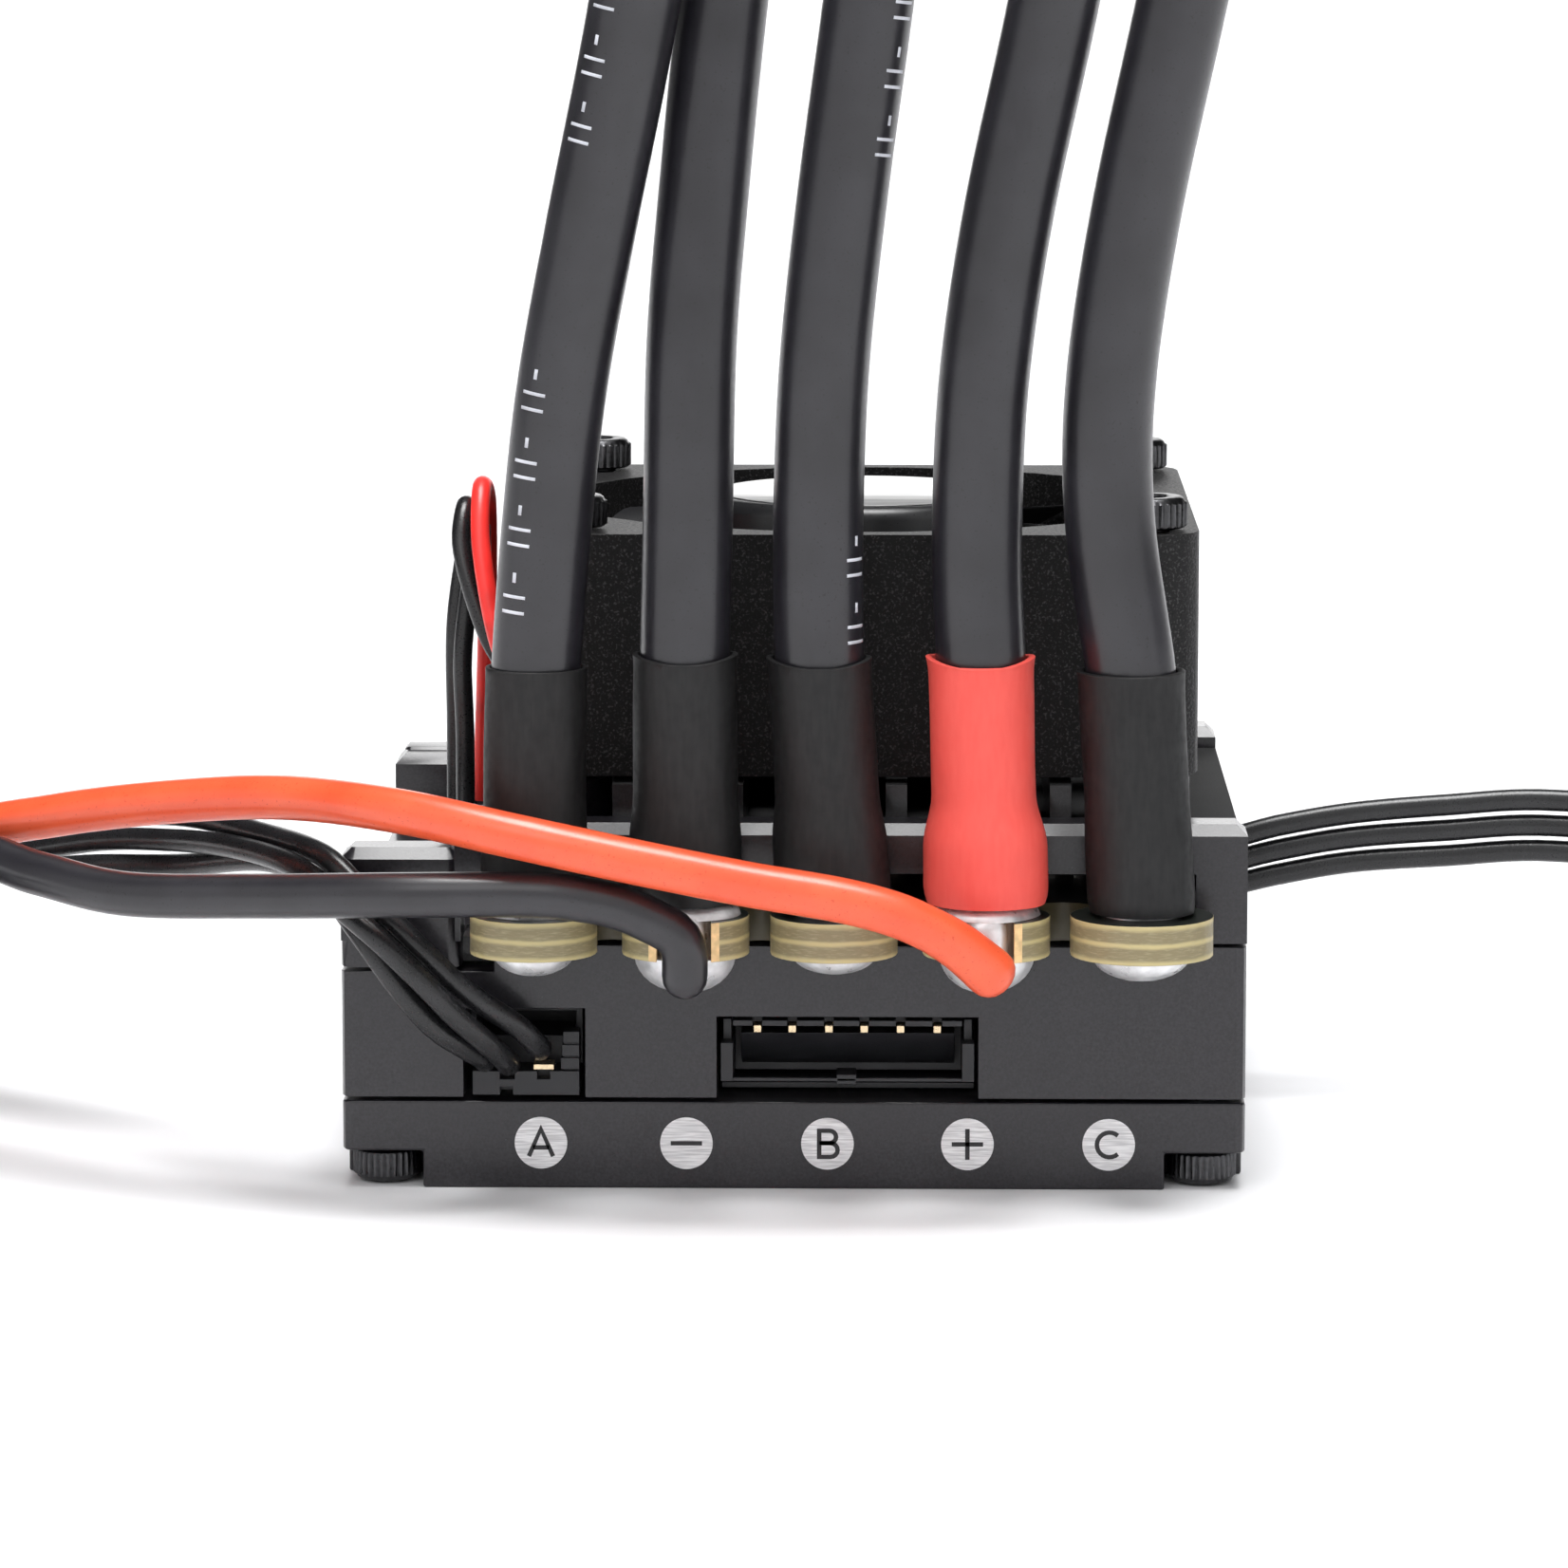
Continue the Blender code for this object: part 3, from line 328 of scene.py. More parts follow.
def etched():
    """Laser-marked metal: pale, drawn in fine level lines."""
    made = Finish("laser_etched", (0.7, 0.69, 0.7), 0.5)
    lines = made.noise(0.09, detail=2.0, stretch=(16, 1, 1))
    made.colour(made.mix(made.spread(lines, 0.35, 0.65), (0.60, 0.59, 0.605), (0.93, 0.92, 0.93)))
    return made.bump(lines, 0.006).material


def film():
    """Blank silvery label film, brushed in straight streaks of light and dark."""
    made = Finish("label_film", (0.62, 0.62, 0.62), 0.3, 0.6)
    streaks = made.noise(0.8, detail=3.0, stretch=(9, 1, 1))
    made.colour(made.mix(made.spread(streaks, 0.3, 0.7), (0.42, 0.42, 0.42), (0.75, 0.75, 0.75)))
    return made.bump(streaks, 0.01).material


def wound_copper():
    made = Finish("wound_copper", (0.7, 0.28, 0.1), 0.3, 0.9)
    turns = made.noise(0.3, detail=1.0, stretch=(6, 6, 1))
    made.colour(made.mix(turns, (0.45, 0.16, 0.05), (0.85, 0.38, 0.16)))
    return made.bump(turns, 0.05).material


ANODISED = anodised()
FAN_PLASTIC = sparked()
SOCKET_PLASTIC = moulded("socket_plastic", (0.012, 0.012, 0.014), 0.4)
ROTOR_PLASTIC = moulded("rotor_plastic", (0.010, 0.010, 0.011), 0.3, depth=0.003)
LEAD_PLASTIC = moulded("lead_insulation", (0.010, 0.010, 0.011), 0.28, depth=0.003)
BLACK_SILICONE = silicone("black_silicone", (0.011, 0.010, 0.0135), (0.019, 0.018, 0.023),
                          (0.006, 0.006, 0.007))
RED_SILICONE = silicone("red_silicone", (0.88, 0.100, 0.034), (0.93, 0.130, 0.048),
                        (0.74, 0.065, 0.020))
BLACK_SLEEVE = shrunk("black_sleeve", (0.008, 0.008, 0.0085), (0.013, 0.013, 0.0135))
RED_SLEEVE = shrunk("red_sleeve", (0.87, 0.098, 0.078), (0.89, 0.110, 0.088))
RED_WIRE = moulded("red_wire", (0.80, 0.03, 0.025), 0.32, depth=0.003)
SOLDER = metal("solder", (0.93, 0.93, 0.94), 0.32, size=0.9, depth=0.002, metallic=0.5)
GOLD = metal("gold_plating", (0.96, 0.77, 0.50), 0.3, size=0.3)
SLOT_PLATING = metal("slot_plating", (0.95, 0.66, 0.33), 0.35, size=0.5, metallic=0.45)
TINNED = metal("tinned_copper", (0.80, 0.78, 0.75), 0.3, size=0.25)
BLACK_STEEL = metal("blackened_steel", (0.10, 0.10, 0.105), 0.32, size=0.3)
BARE_ALUMINIUM = metal("bare_aluminium", (0.75, 0.75, 0.76), 0.35, size=0.6)
# Painted shade: a darker, matt finish for the sunken deck under the fan, which is the cover's
# anodised metal lying in the fan's shade.
DECK_PAINTED_SHADE = moulded("deck_painted_shade", (0.005, 0.005, 0.0055), 0.75)
LAMINATE = laminate_edge()
# Painted shade: a darker laminate for the necks between the lobes, which sit in shade.
NECK_PAINTED_SHADE = moulded("neck_laminate_painted_shade", (0.045, 0.037, 0.018), 0.35, grain=0.4, depth=0.02)
BLACK_MASK = solder_mask("black_solder_mask", (0.012, 0.014, 0.012))
GREEN_MASK = solder_mask("green_solder_mask", (0.012, 0.075, 0.032))
ETCHED = etched()
MARK = moulded("mark_black", (0.014, 0.013, 0.015), 0.5)
PRINT = moulded("wire_print", (0.45, 0.46, 0.5), 0.6)
FILM = film()
COPPER = wound_copper()
PAD = moulded("thermal_pad", (0.22, 0.25, 0.30), 0.75, grain=0.4, depth=0.02)
CAN_SLEEVE = moulded("can_sleeve", (0.014, 0.014, 0.018), 0.3, grain=0.5, depth=0.004)
BUTTON_PLASTIC = moulded("button_plastic", (0.22, 0.22, 0.23), 0.45)


# ---------------------------------------------------------------- building shapes


def box_of(node):
    """Lowest and highest corner of a CAD node, in millimetres."""
    low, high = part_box(node)
    return low / MM, high / MM


def place(name, data, finishes, body="controller", replaces=(), slot=None):
    """Puts a finished mesh in the scene, riding on a body and standing for CAD nodes."""
    item = bpy.data.objects.new(name, data)
    bpy.context.scene.collection.objects.link(item)
    for finish in finishes:
        data.materials.append(finish)
    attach(item, body)
    if replaces:
        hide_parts(*replaces)
    return item


def to_mesh(work, name, smooth=38.0):
    """Turns a bmesh in millimetres into a shaded mesh in metres."""
    bmesh.ops.recalc_face_normals(work, faces=work.faces)
    bmesh.ops.scale(work, vec=(MM, MM, MM), verts=work.verts)
    data = bpy.data.meshes.new(name)
    work.to_mesh(data)
    work.free()
    data.shade_smooth()
    data.set_sharp_from_angle(angle=math.radians(smooth))
    return data


def skin(work, rings, closed=False, material=0):
    """Joins rings of points into a surface, capped at both ends unless it closes on itself."""
    made = [[work.verts.new(point) for point in ring] for ring in rings]
    pairs = list(zip(made, made[1:]))
    if closed:
        pairs.append((made[-1], made[0]))
    faces = []
    for low, high in pairs:
        for k in range(len(low)):
            j = (k + 1) % len(low)
            faces.append(work.faces.new((low[k], low[j], high[j], high[k])))
    if not closed:
        faces.append(work.faces.new(made[0][::-1]))
        faces.append(work.faces.new(made[-1]))
    for face in faces:
        face.material_index = material
    return faces


def value_at(value, angle):
    return value(angle) if callable(value) else value


def turned_rings(centre, profile, steps):
    """Rings about an upright axis. A radius or a height may be a function of the angle."""
    rings = []
    for radius, height in profile:
        ring = []
        for k in range(steps):
            angle = TURN * k / steps
            r = value_at(radius, angle)
            ring.append(Vector((centre[0] + r * math.cos(angle), centre[1] + r * math.sin(angle),
                                value_at(height, angle))))
        rings.append(ring)
    return rings


def bevelled(item, width, segments=2):
    change = item.modifiers.new("soft_edges", "BEVEL")
    change.width = width * MM
    change.segments = segments
    change.limit_method = "ANGLE"
    change.angle_limit = math.radians(35)
    change.harden_normals = True
    change.use_clamp_overlap = True


def edged(name, work, width, finishes, smooth=30.0, **options):
    """Places a piece built from a bmesh in millimetres, with its edges softened."""
    bevelled(place(name, to_mesh(work, name, smooth), finishes, **options), width)


def turned(name, centre, profile, steps, finishes, smooth=35.0, closed=False, **options):
    """Places a piece turned about an upright axis."""
    work = bmesh.new()
    skin(work, turned_rings(centre, profile, steps), closed)
    place(name, to_mesh(work, name, smooth), finishes, **options)


def cleaned_copy(node):
    """A bmesh of a CAD node in metres, with its corners joined and its flat faces whole."""
    work = bmesh.new()
    work.from_mesh(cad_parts[node].data)
    bmesh.ops.remove_doubles(work, verts=work.verts, dist=0.002 * MM)
    bmesh.ops.dissolve_limit(work, angle_limit=math.radians(0.5), verts=work.verts,
                             edges=work.edges)
    return work


def softened(node, width, finishes, segments=3, slot=None, change=None, name=None):
    """Stands for a CAD node with its own shape, changed if asked, and softly rounded edges."""
    name = name or node + "_soft"
    work = cleaned_copy(node)
    if change:
        change(work)
    data = bpy.data.meshes.new(name)
    work.to_mesh(data)
    work.free()
    data.shade_smooth()
    data.set_sharp_from_angle(angle=math.radians(30))
    bevelled(place(name, data, finishes, replaces=[node], slot=slot), width, segments)


def slab(work, x, y, z, material=0):
    """Adds a box between the given limits."""
    made = bmesh.ops.create_cube(work, size=1.0)["verts"]
    size = Vector((x[1] - x[0], y[1] - y[0], z[1] - z[0]))
    bmesh.ops.scale(work, vec=size, verts=made)
    middle = Vector((x[0] + x[1], y[0] + y[1], z[0] + z[1])) / 2
    bmesh.ops.translate(work, vec=middle, verts=made)
    for face in {face for vert in made for face in vert.link_faces}:
        face.material_index = material
    return made


class Line:
    """A smooth curve through a route's points, with a side direction carried along it."""

    STEPS = 24

    def __init__(self, route, side=(0.0, -1.0, 0.0)):
        knots = [Vector(p) for p in route]
        ends = [2 * knots[0] - knots[1], *knots, 2 * knots[-1] - knots[-2]]
        self.points = []
        for i in range(1, len(ends) - 2):
            before, start, stop, after = ends[i - 1:i + 3]
            for k in range(self.STEPS):
                t = k / self.STEPS
                self.points.append(0.5 * (2 * start + (stop - before) * t
                                          + (2 * before - 5 * start + 4 * stop - after) * t * t
                                          + (3 * start - before - 3 * stop + after) * t ** 3))
        self.points.append(knots[-1])
        self.walked = [0.0]
        for a, b in zip(self.points, self.points[1:]):
            self.walked.append(self.walked[-1] + (b - a).length)
        self.length = self.walked[-1]
        self.sides = []
        carried = Vector(side)
        for i in range(len(self.points)):
            along = self.direction(i)
            carried = (carried - along * carried.dot(along)).normalized()
            self.sides.append(carried)

    def direction(self, i):
        last = len(self.points) - 1
        return (self.points[min(i + 1, last)] - self.points[max(i - 1, 0)]).normalized()

    def at(self, distance):
        """Point, direction, side and the third axis at a distance along the line."""
        distance = min(max(distance, 0.0), self.length)
        i = min(bisect_right(self.walked, distance), len(self.walked) - 1) - 1
        j = i + 1
        share = (distance - self.walked[i]) / (self.walked[j] - self.walked[i])
        point = self.points[i].lerp(self.points[j], share)
        along = self.direction(i).lerp(self.direction(j), share).normalized()
        side = self.sides[i].lerp(self.sides[j], share)
        side = (side - along * side.dot(along)).normalized()
        return point, along, side, along.cross(side)

    def path(self, count=32):
        return [self.at(self.length * k / (count - 1))[0] * MM for k in range(count)]


def ring_on(line, distance, radius, sides):
    point, _, side, other = line.at(distance)
    angles = [TURN * k / sides for k in range(sides)]
    return [point + (side * math.cos(a) + other * math.sin(a)) * radius for a in angles]


def swept(line, radius, sides=24, stop=None, round_start=0.0, round_end=0.0, step=1.0):
    """Rings along a line. The radius may be a function of the distance, and ends may be round."""
    stop = line.length if stop is None else stop
    count = max(2, round(stop / step))
    places = {stop, *(stop * k / count for k in range(count))}
    for reach, edge, inward in ((round_start, 0.0, 1), (round_end, stop, -1)):
        places.update(edge + inward * reach * (1 - math.cos(t)) for t in (0.2, 0.5, 0.8, 1.15))
    rings = []
    for distance in sorted(places):
        r = value_at(radius, distance)
        for reach, gap in ((round_start, distance), (round_end, stop - distance)):
            if reach and gap < reach:
                share = 1 - gap / reach
                r = r - min(reach, r * 0.97) * (1 - math.sqrt(max(0.0, 1 - share * share)))
        rings.append(ring_on(line, distance, r, sides))
    return rings


def tube(name, line, radius, finish, replaces, slot, **shape):
    work = bmesh.new()
    skin(work, swept(line, radius, **shape))
    return place(name, to_mesh(work, name), [finish], replaces=replaces, slot=slot)


# ---------------------------------------------------------------- cords


WIRE_ROUTES = {
    "a": [(-12.2, -21.2, 34.7), (-11.4, -21.4, 41.5), (-9.9, -21.7, 49.5), (-7.8, -22.1, 60.0),
          (-5.9, -22.9, 72.0), (-4.6, -24.2, 84.0), (-4.2, -25.8, 97.0), (-4.8, -27.2, 110.0),
          (-5.8, -28.2, 121.0)],
    "minus": [(-5.2, -21.0, 34.7), (-5.0, -20.8, 43.5), (-4.4, -20.3, 51.0), (-3.5, -19.7, 60.0),
              (-2.0, -18.6, 72.0), (-0.4, -17.2, 84.0), (0.8, -15.8, 97.0), (1.2, -14.6, 110.0),
              (1.0, -13.8, 120.0)],
    "b": [(1.3, -21.0, 34.7), (1.6, -21.0, 42.5), (2.5, -20.9, 51.0), (3.7, -20.8, 60.0),
          (5.2, -20.6, 72.0), (6.4, -20.2, 84.0), (7.2, -19.6, 97.0), (7.6, -18.8, 110.0),
          (7.4, -18.0, 121.0)],
    "plus": [(9.2, -21.0, 33.5), (9.5, -21.0, 41.5), (10.7, -20.9, 50.0), (12.8, -20.8, 60.0),
             (15.0, -21.8, 72.0), (16.6, -23.6, 84.0), (17.2, -25.8, 97.0), (16.8, -27.6, 110.0),
             (16.0, -28.8, 120.0)],
    "c": [(15.8, -21.0, 34.7), (15.8, -21.0, 41.5), (17.0, -20.9, 50.0), (19.1, -20.8, 60.0),
          (21.6, -20.4, 72.0), (23.4, -19.6, 84.0), (24.2, -18.4, 97.0), (24.0, -17.0, 110.0),
          (23.2, -16.0, 121.0)],
}

CAP_ROUTES = {
    "minus": [(-5.25, -25.6, 11.25), (-5.25, -25.6, 12.5), (-5.25, -25.7, 13.4),
              (-5.45, -25.9, 14.2), (-5.95, -26.0, 14.75), (-7.15, -26.1, 15.4),
              (-8.3, -26.1, 15.9), (-9.95, -26.0, 16.25), (-12.8, -25.8, 16.5),
              (-19.5, -24.8, 16.3), (-27.0, -21.6, 15.7), (-33.8, -18.6, 15.3),
              (-38.6, -15.4, 15.8), (-43.2, -11.4, 16.2), (-47.0, -8.8, 12.8),
              (-49.6, -7.4, 9.4), (-52.4, -7.0, 8.3)],
    "plus": [(10.75, -25.9, 11.95), (9.75, -26.0, 12.85), (8.35, -26.6, 14.1),
             (6.7, -27.1, 15.15), (4.8, -27.3, 15.95), (2.15, -27.3, 16.6),
             (-2.4, -27.2, 17.35), (-8.1, -27.0, 18.45), (-13.8, -26.0, 19.5),
             (-19.7, -23.2, 20.3), (-25.7, -18.6, 20.25), (-31.8, -15.2, 19.5),
             (-38.1, -12.0, 18.3), (-43.6, -8.4, 16.6), (-47.4, -4.8, 12.8),
             (-49.6, -2.0, 9.6), (-52.4, -1.2, 8.5)],
}

# Three-strand leads: the middle strand's route, and the steps from it to the first strand and
# to the third. Where one step is given, the third strand lies opposite the first.
RECEIVER_RIBBON = [
    ((-14.5, -18.1, 6.5), (-1.2, 0.0, 0.2), (1.6, 0.0, 0.8)),
    ((-14.7, -19.4, 7.1), (-1.2, 0.35, 0.0), (1.45, 0.4, 0.85)),
    ((-15.45, -20.7, 8.1), (-1.37, 0.5, -0.2), (1.4, 1.0, 0.75)),
    ((-16.95, -21.7, 9.65), (-1.07, 0.8, -0.8), (1.2, 1.2, 0.5)),
    ((-18.25, -22.2, 11.15), (-1.1, 1.0, -0.75), (1.0, 1.3, 0.3)),
    ((-19.6, -22.2, 12.5), (-0.9, 1.1, -0.55), (0.95, 1.2, 0.35)),
    ((-21.05, -21.8, 13.8), (-0.3, 1.2, -0.75), (1.0, 1.05, 0.4)),
    ((-23.1, -20.2, 15.2), (0.49, 1.0, -0.75), (1.0, 0.75, 0.75)),
    ((-25.0, -18.0, 16.5), (0.98, 0.7, -0.68), (0.98, 0.7, 0.68)),
    ((-28.35, -12.8, 16.7), (0.95, 0.6, -0.68), (0.95, 0.6, 0.68)),
    ((-32.8, -6.2, 16.1), (0.4, 0.2, -1.35), (0.4, 0.2, 1.3)),
    ((-38.0, -1.2, 15.2), (-0.5, -0.5, -1.25), (0.6, 0.8, 1.0)),
    ((-44.4, 5.0, 12.8), (-0.8, -1.0, -0.6)),
    ((-52.4, 11.2, 7.6), (-0.7, -1.1, -0.5)),
    ((-61.2, 16.6, 2.8), (-0.5, -1.3, -0.2)),
    ((-71.0, 21.4, 0.9), (-0.2, -1.4, 0.0)),
    ((-80.8, 22.0, 0.8), (0.6, -1.3, 0.0)),
    ((-88.4, 17.6, 0.8), (1.2, -0.8, 0.0)),
    ((-91.0, 10.4, 0.8), (1.45, 0.0, 0.0)),
    ((-89.4, 3.2, 1.2), (1.4, 0.3, 0.0)),
    ((-84.4, -3.6, 2.6), (1.4, 0.2, 0.0)),
    ((-82.6, -11.0, 3.6), (1.4, 0.0, 0.0)),
]

SWITCH_RIBBON = [
    ((19.6, 10.5, 12.3), (0.0, 0.0, -1.3)),
    ((23.0, 10.5, 12.4), (0.0, 0.0, -1.3)),
    ((26.0, 10.5, 13.1), (0.0, 0.0, -1.35)),
    ((30.0, 10.5, 13.8), (0.0, 0.0, -1.35)),
    ((35.0, 10.5, 14.2), (0.0, 0.0, -1.4)),
    ((41.0, 10.4, 14.5), (0.0, 0.0, -1.4)),
    ((49.0, 9.4, 13.6), (-0.1, -0.1, -1.4)),
    ((58.0, 9.6, 8.6), (-0.4, -0.4, -1.3)),
    ((66.5, 13.2, 3.4), (-0.2, -1.0, -0.9)),
    ((76.0, 17.2, 1.4), (-0.1, -1.4, -0.3)),
    ((85.0, 15.6, 1.2), (-0.9, -1.1, -0.2)),
    ((89.8, 9.2, 1.2), (-1.4, -0.1, -0.2)),
    ((88.2, 1.4, 1.6), (-1.2, 0.7, -0.1)),
    ((83.4, -4.2, 3.0), (-0.6, 1.3, 0.0)),
    ((77.5, -6.0, 4.0), (0.0, 1.4, 0.0)),
]

FAN_ROUTES = {
    "red": [(-14.85, -6.4, 24.6), (-15.8, -5.6, 27.2), (-16.6, -4.0, 31.4), (-16.7, -1.6, 34.2),
            (-16.6, 1.4, 33.0), (-16.7, 2.9, 28.0), (-16.9, 3.0, 21.6), (-17.1, 2.7, 16.9)],
    "black": [(-14.85, -5.0, 24.4), (-16.4, -4.2, 27.0), (-17.7, -2.6, 31.0), (-17.6, -0.6, 33.2),
              (-17.7, 1.4, 31.4), (-18.3, 1.0, 26.6), (-18.3, 0.8, 21.4), (-18.3, 0.6, 16.9)],
    "signal": [(-14.85, -3.6, 24.2), (-16.2, -2.6, 26.4), (-16.7, -1.2, 30.2), (-16.9, 0.2, 32.2),
               (-17.4, -0.2, 29.0), (-17.8, -0.9, 25.2), (-17.7, -1.1, 21.2),
               (-17.7, -1.0, 16.9)],
}

BARE_END = 5.0
BARE_SIDES = 72


def sleeve_axis(key):
    """Lower and upper end of a sleeve's leaning axis."""
    x, lean = TERMINALS[key]
    low, high = box_of("sleeve_" + key)
    return Vector((x, TERMINAL_Y, low.z)), Vector((x + lean, TERMINAL_Y, high.z))


def main_wires():
    """Thick silicone wires that stand up from the sleeves and end bare and tinned."""
    for key in TERMINALS:
        foot, rim = sleeve_axis(key)
        inside = [foot.lerp(rim, (z - foot.z) / (rim.z - foot.z))
                  for z in (foot.z + 0.15, 19.0, 23.0, rim.z - 0.2)]
        line = Line(inside + WIRE_ROUTES[key])
        skinned = line.length - BARE_END
        work = bmesh.new()
        skin(work, swept(line, WIRE_R, sides=BARE_SIDES, stop=skinned, round_end=0.35))
        skin(work, bare_strands(line, skinned), material=1)
        name = "main_wire_" + key
        wire = place(name, to_mesh(work, name), [BLACK_SILICONE, TINNED],
                     replaces=["wire_" + key], slot="black_silicone")
        line.path()
        if key in PRINTED:
            printed_marks("wire_marks_" + key, line, PRINTED[key])


def bare_strands(line, start):
    """Rings of a bundle of strands, twisted and tinned, past the end of the insulation."""
    lobes, twist, radius = 12, 0.35, 1.45
    length = line.length - start
    spots = [(start - 0.6 + (length + 0.2) * k / 10, 1.0) for k in range(11)]
    spots += [(line.length - 0.2, 0.92), (line.length - 0.05, 0.75), (line.length, 0.45)]
    rings = []
    for distance, scale in spots:
        point, _, side, other = line.at(distance)
        ring = []
        for k in range(BARE_SIDES):
            angle = TURN * k / BARE_SIDES
            r = radius * scale * (1 - 0.09 * abs(math.sin(lobes * angle / 2)) ** 0.7)
            a = angle + twist * (distance - start)
            ring.append(point + (side * math.cos(a) + other * math.sin(a)) * r)
        rings.append(ring)
    return rings


# Rows of plain marks on two of the wires: the start and end, and the angle round the wire
PRINTED = {"a": ((14.5, 26.5, -0.62), (38.0, 46.5, -0.70)),
           "b": ((13.0, 17.5, 1.02), (37.5, 60.0, 0.95))}


# A bar's and a dash's length along the wire and angle round it, and the gap after each
PRINTED_BAR = (0.16, 0.62)
PRINTED_DASH = (0.5, 0.09)
PRINTED_GAP = 0.62


def printed_marks(name, line, rows):
    """Rows of plain white bars that lie across the wire, with short dashes between them."""
    work = bmesh.new()
    for start, stop, angle in rows:
        distance = start
        while distance < stop:
            for along, width in (PRINTED_BAR, PRINTED_BAR, PRINTED_DASH):
                printed_patch(work, line, distance, along, angle, width)
                distance += along + PRINTED_GAP
            distance += 0.7
    item = place(name, to_mesh(work, name), [PRINT], slot="black_silicone")
    thick = item.modifiers.new("thick", "SOLIDIFY")
    thick.thickness = 0.02 * MM
    thick.offset = -1.0


def printed_patch(work, line, distance, along, angle, width):
    """Adds one mark, bent round the wire."""
    grid = []
    for i in range(3):
        point, _, side, other = line.at(distance + along * i / 2)
        row = []
        for j in range(7):
            a = angle + (j / 6 - 0.5) * width
            normal = side * math.cos(a) + other * math.sin(a)
            row.append(work.verts.new(point + normal * (WIRE_R + 0.012)))
        grid.append(row)
    for low, high in zip(grid, grid[1:]):
        for k in range(6):
            work.faces.new((low[k], low[k + 1], high[k + 1], high[k]))


def capacitor_leads():
    """Leads that leave the fronts of the power posts and run left to the capacitors."""
    for key, finish, slot in (("minus", BLACK_SILICONE, "black_silicone"),
                              ("plus", RED_SILICONE, "red_silicone")):
        line = Line(CAP_ROUTES[key], side=(1.0, 0.0, 0.0))
        base = CAP_LEAD_R[key]

        def radius(distance, base=base, flare=LEAD_FLARE[key]):
            return base + flare * max(0.0, 1 - distance / 5.0)

        node = "cap_lead_" + key
        lead = tube("capacitor_lead_" + key, line, radius, finish, [node], slot,
                    sides=32, round_start=1.15, step=0.4)
        line.at(0)[0] * MM
        line.path(40)


# How far each lead's strands reach back into their plug or their slot
STRAND_ROOT = {"receiver_lead": Vector((0.0, 0.9, -0.1)), "switch_lead": Vector((-0.8, 0.0, 0.0))}


def strand_routes(ribbon):
    """Routes of a lead's first, middle and third strand."""
    rows = []
    for middle, first, *third in ribbon:
        middle, first = Vector(middle), Vector(first)
        rows.append((middle + first, middle, middle + (Vector(*third) if third else -first)))
    return zip(*rows)


def strand_leads():
    for node, ribbon, pieces in (
            ("receiver_lead", RECEIVER_RIBBON, ["servo_plug_body"]),
            ("switch_lead", SWITCH_RIBBON, ["switch_case_soft", "switch_rim", "button_cap"])):
        for k, route in enumerate(strand_routes(ribbon), start=1):
            line = Line([route[0] + STRAND_ROOT[node], *route], side=(0.0, 0.0, 1.0))
            strand = tube(f"{node}_strand_{k}", line, STRAND_R, LEAD_PLASTIC, [f"{node}_{k}"],
                          "black_silicone", sides=16, step=0.8)
            line.at(0)[0] * MM
            line.path(40)


def fan_leads():
    finishes = {"red": (RED_WIRE, "red_silicone"), "black": (LEAD_PLASTIC, "black_silicone"),
                "signal": (LEAD_PLASTIC, "black_silicone")}
    for key, route in FAN_ROUTES.items():
        finish, slot = finishes[key]
        tube(f"fan_lead_{key}", Line(route), FAN_WIRE_R, finish, [f"fan_wire_{key}"], slot,
             sides=16, step=0.5)


# ---------------------------------------------------------------- case


# Corners of the cover's left rear screw boss, along its front and outer top edges, and the
# width of the slope that the two edges get
BOSS_SLOPE = 0.6
BOSS_CORNERS = [(-18.6, 20.0, 16.9), (-23.0, 20.0, 16.9), (-23.0, 24.2, 16.9)]


def case():
    for node in ("base_plate", "lower_case"):
        softened(node, 0.14, [ANODISED], slot="black_anodised")
    softened("top_cover", 0.14, [ANODISED, DECK_PAINTED_SHADE], slot="black_anodised",
             change=finish_cover)


def finish_cover(work):
    """Slopes the rear screw boss's edges and puts painted shade on the sunken deck between the
    fan's fins.
    """
    corners = [Vector(point) * MM for point in BOSS_CORNERS]
    edges = [edge for edge in work.edges
             if all(min((vert.co - corner).length for corner in corners) < 0.05 * MM
                    for vert in edge.verts)]
    bmesh.ops.bevel(work, geom=edges, offset=BOSS_SLOPE * MM, segments=1, affect="EDGES")
    fan_low, fan_high = box_of("fan_frame")
    for face in work.faces:
        spot = face.calc_center_median() / MM
        under_fan = (fan_low.x + 1 < spot.x < fan_high.x - 1
                     and fan_low.y < spot.y < fan_high.y - 1 and spot.z < fan_low.z)
        # The deck under the fan and its rear wall get the painted shade finish.
        if under_fan and (face.normal.z > 0.7 or face.normal.y < -0.7 and spot.y > 0):
            face.material_index = 1


def arc_points(centre, radius, start, stop, count):
    angles = [math.radians(start + (stop - start) * k / (count - 1)) for k in range(count)]
    return [(centre[0] + radius * math.cos(a), centre[1] + radius * math.sin(a)) for a in angles]


LABEL_X = {"a": -12.87, "minus": -5.45, "b": 1.74, "plus": 8.87, "c": 16.06}
LABEL_Z = 2.35
LABEL_R = 1.34
STROKE = 0.23

# Strokes of each terminal's mark, round its own middle
MARKS = {
    "a": [[(-0.62, -0.7), (0.0, 0.72), (0.62, -0.7)], [(-0.42, -0.24), (0.42, -0.24)]],
    "minus": [[(-0.8, 0.0), (0.8, 0.0)]],
    "b": [[(-0.42, 0.04), *arc_points((0.12, 0.36), 0.32, -90, 90, 9), (-0.42, 0.68),
           (-0.42, -0.68), *arc_points((0.16, -0.32), 0.36, -90, 90, 9), (-0.42, 0.04)]],
    "plus": [[(-0.8, 0.0), (0.8, 0.0)], [(0.0, -0.8), (0.0, 0.8)]],
    "c": [arc_points((0.04, 0.0), 0.64, 48, 312, 19)],
}


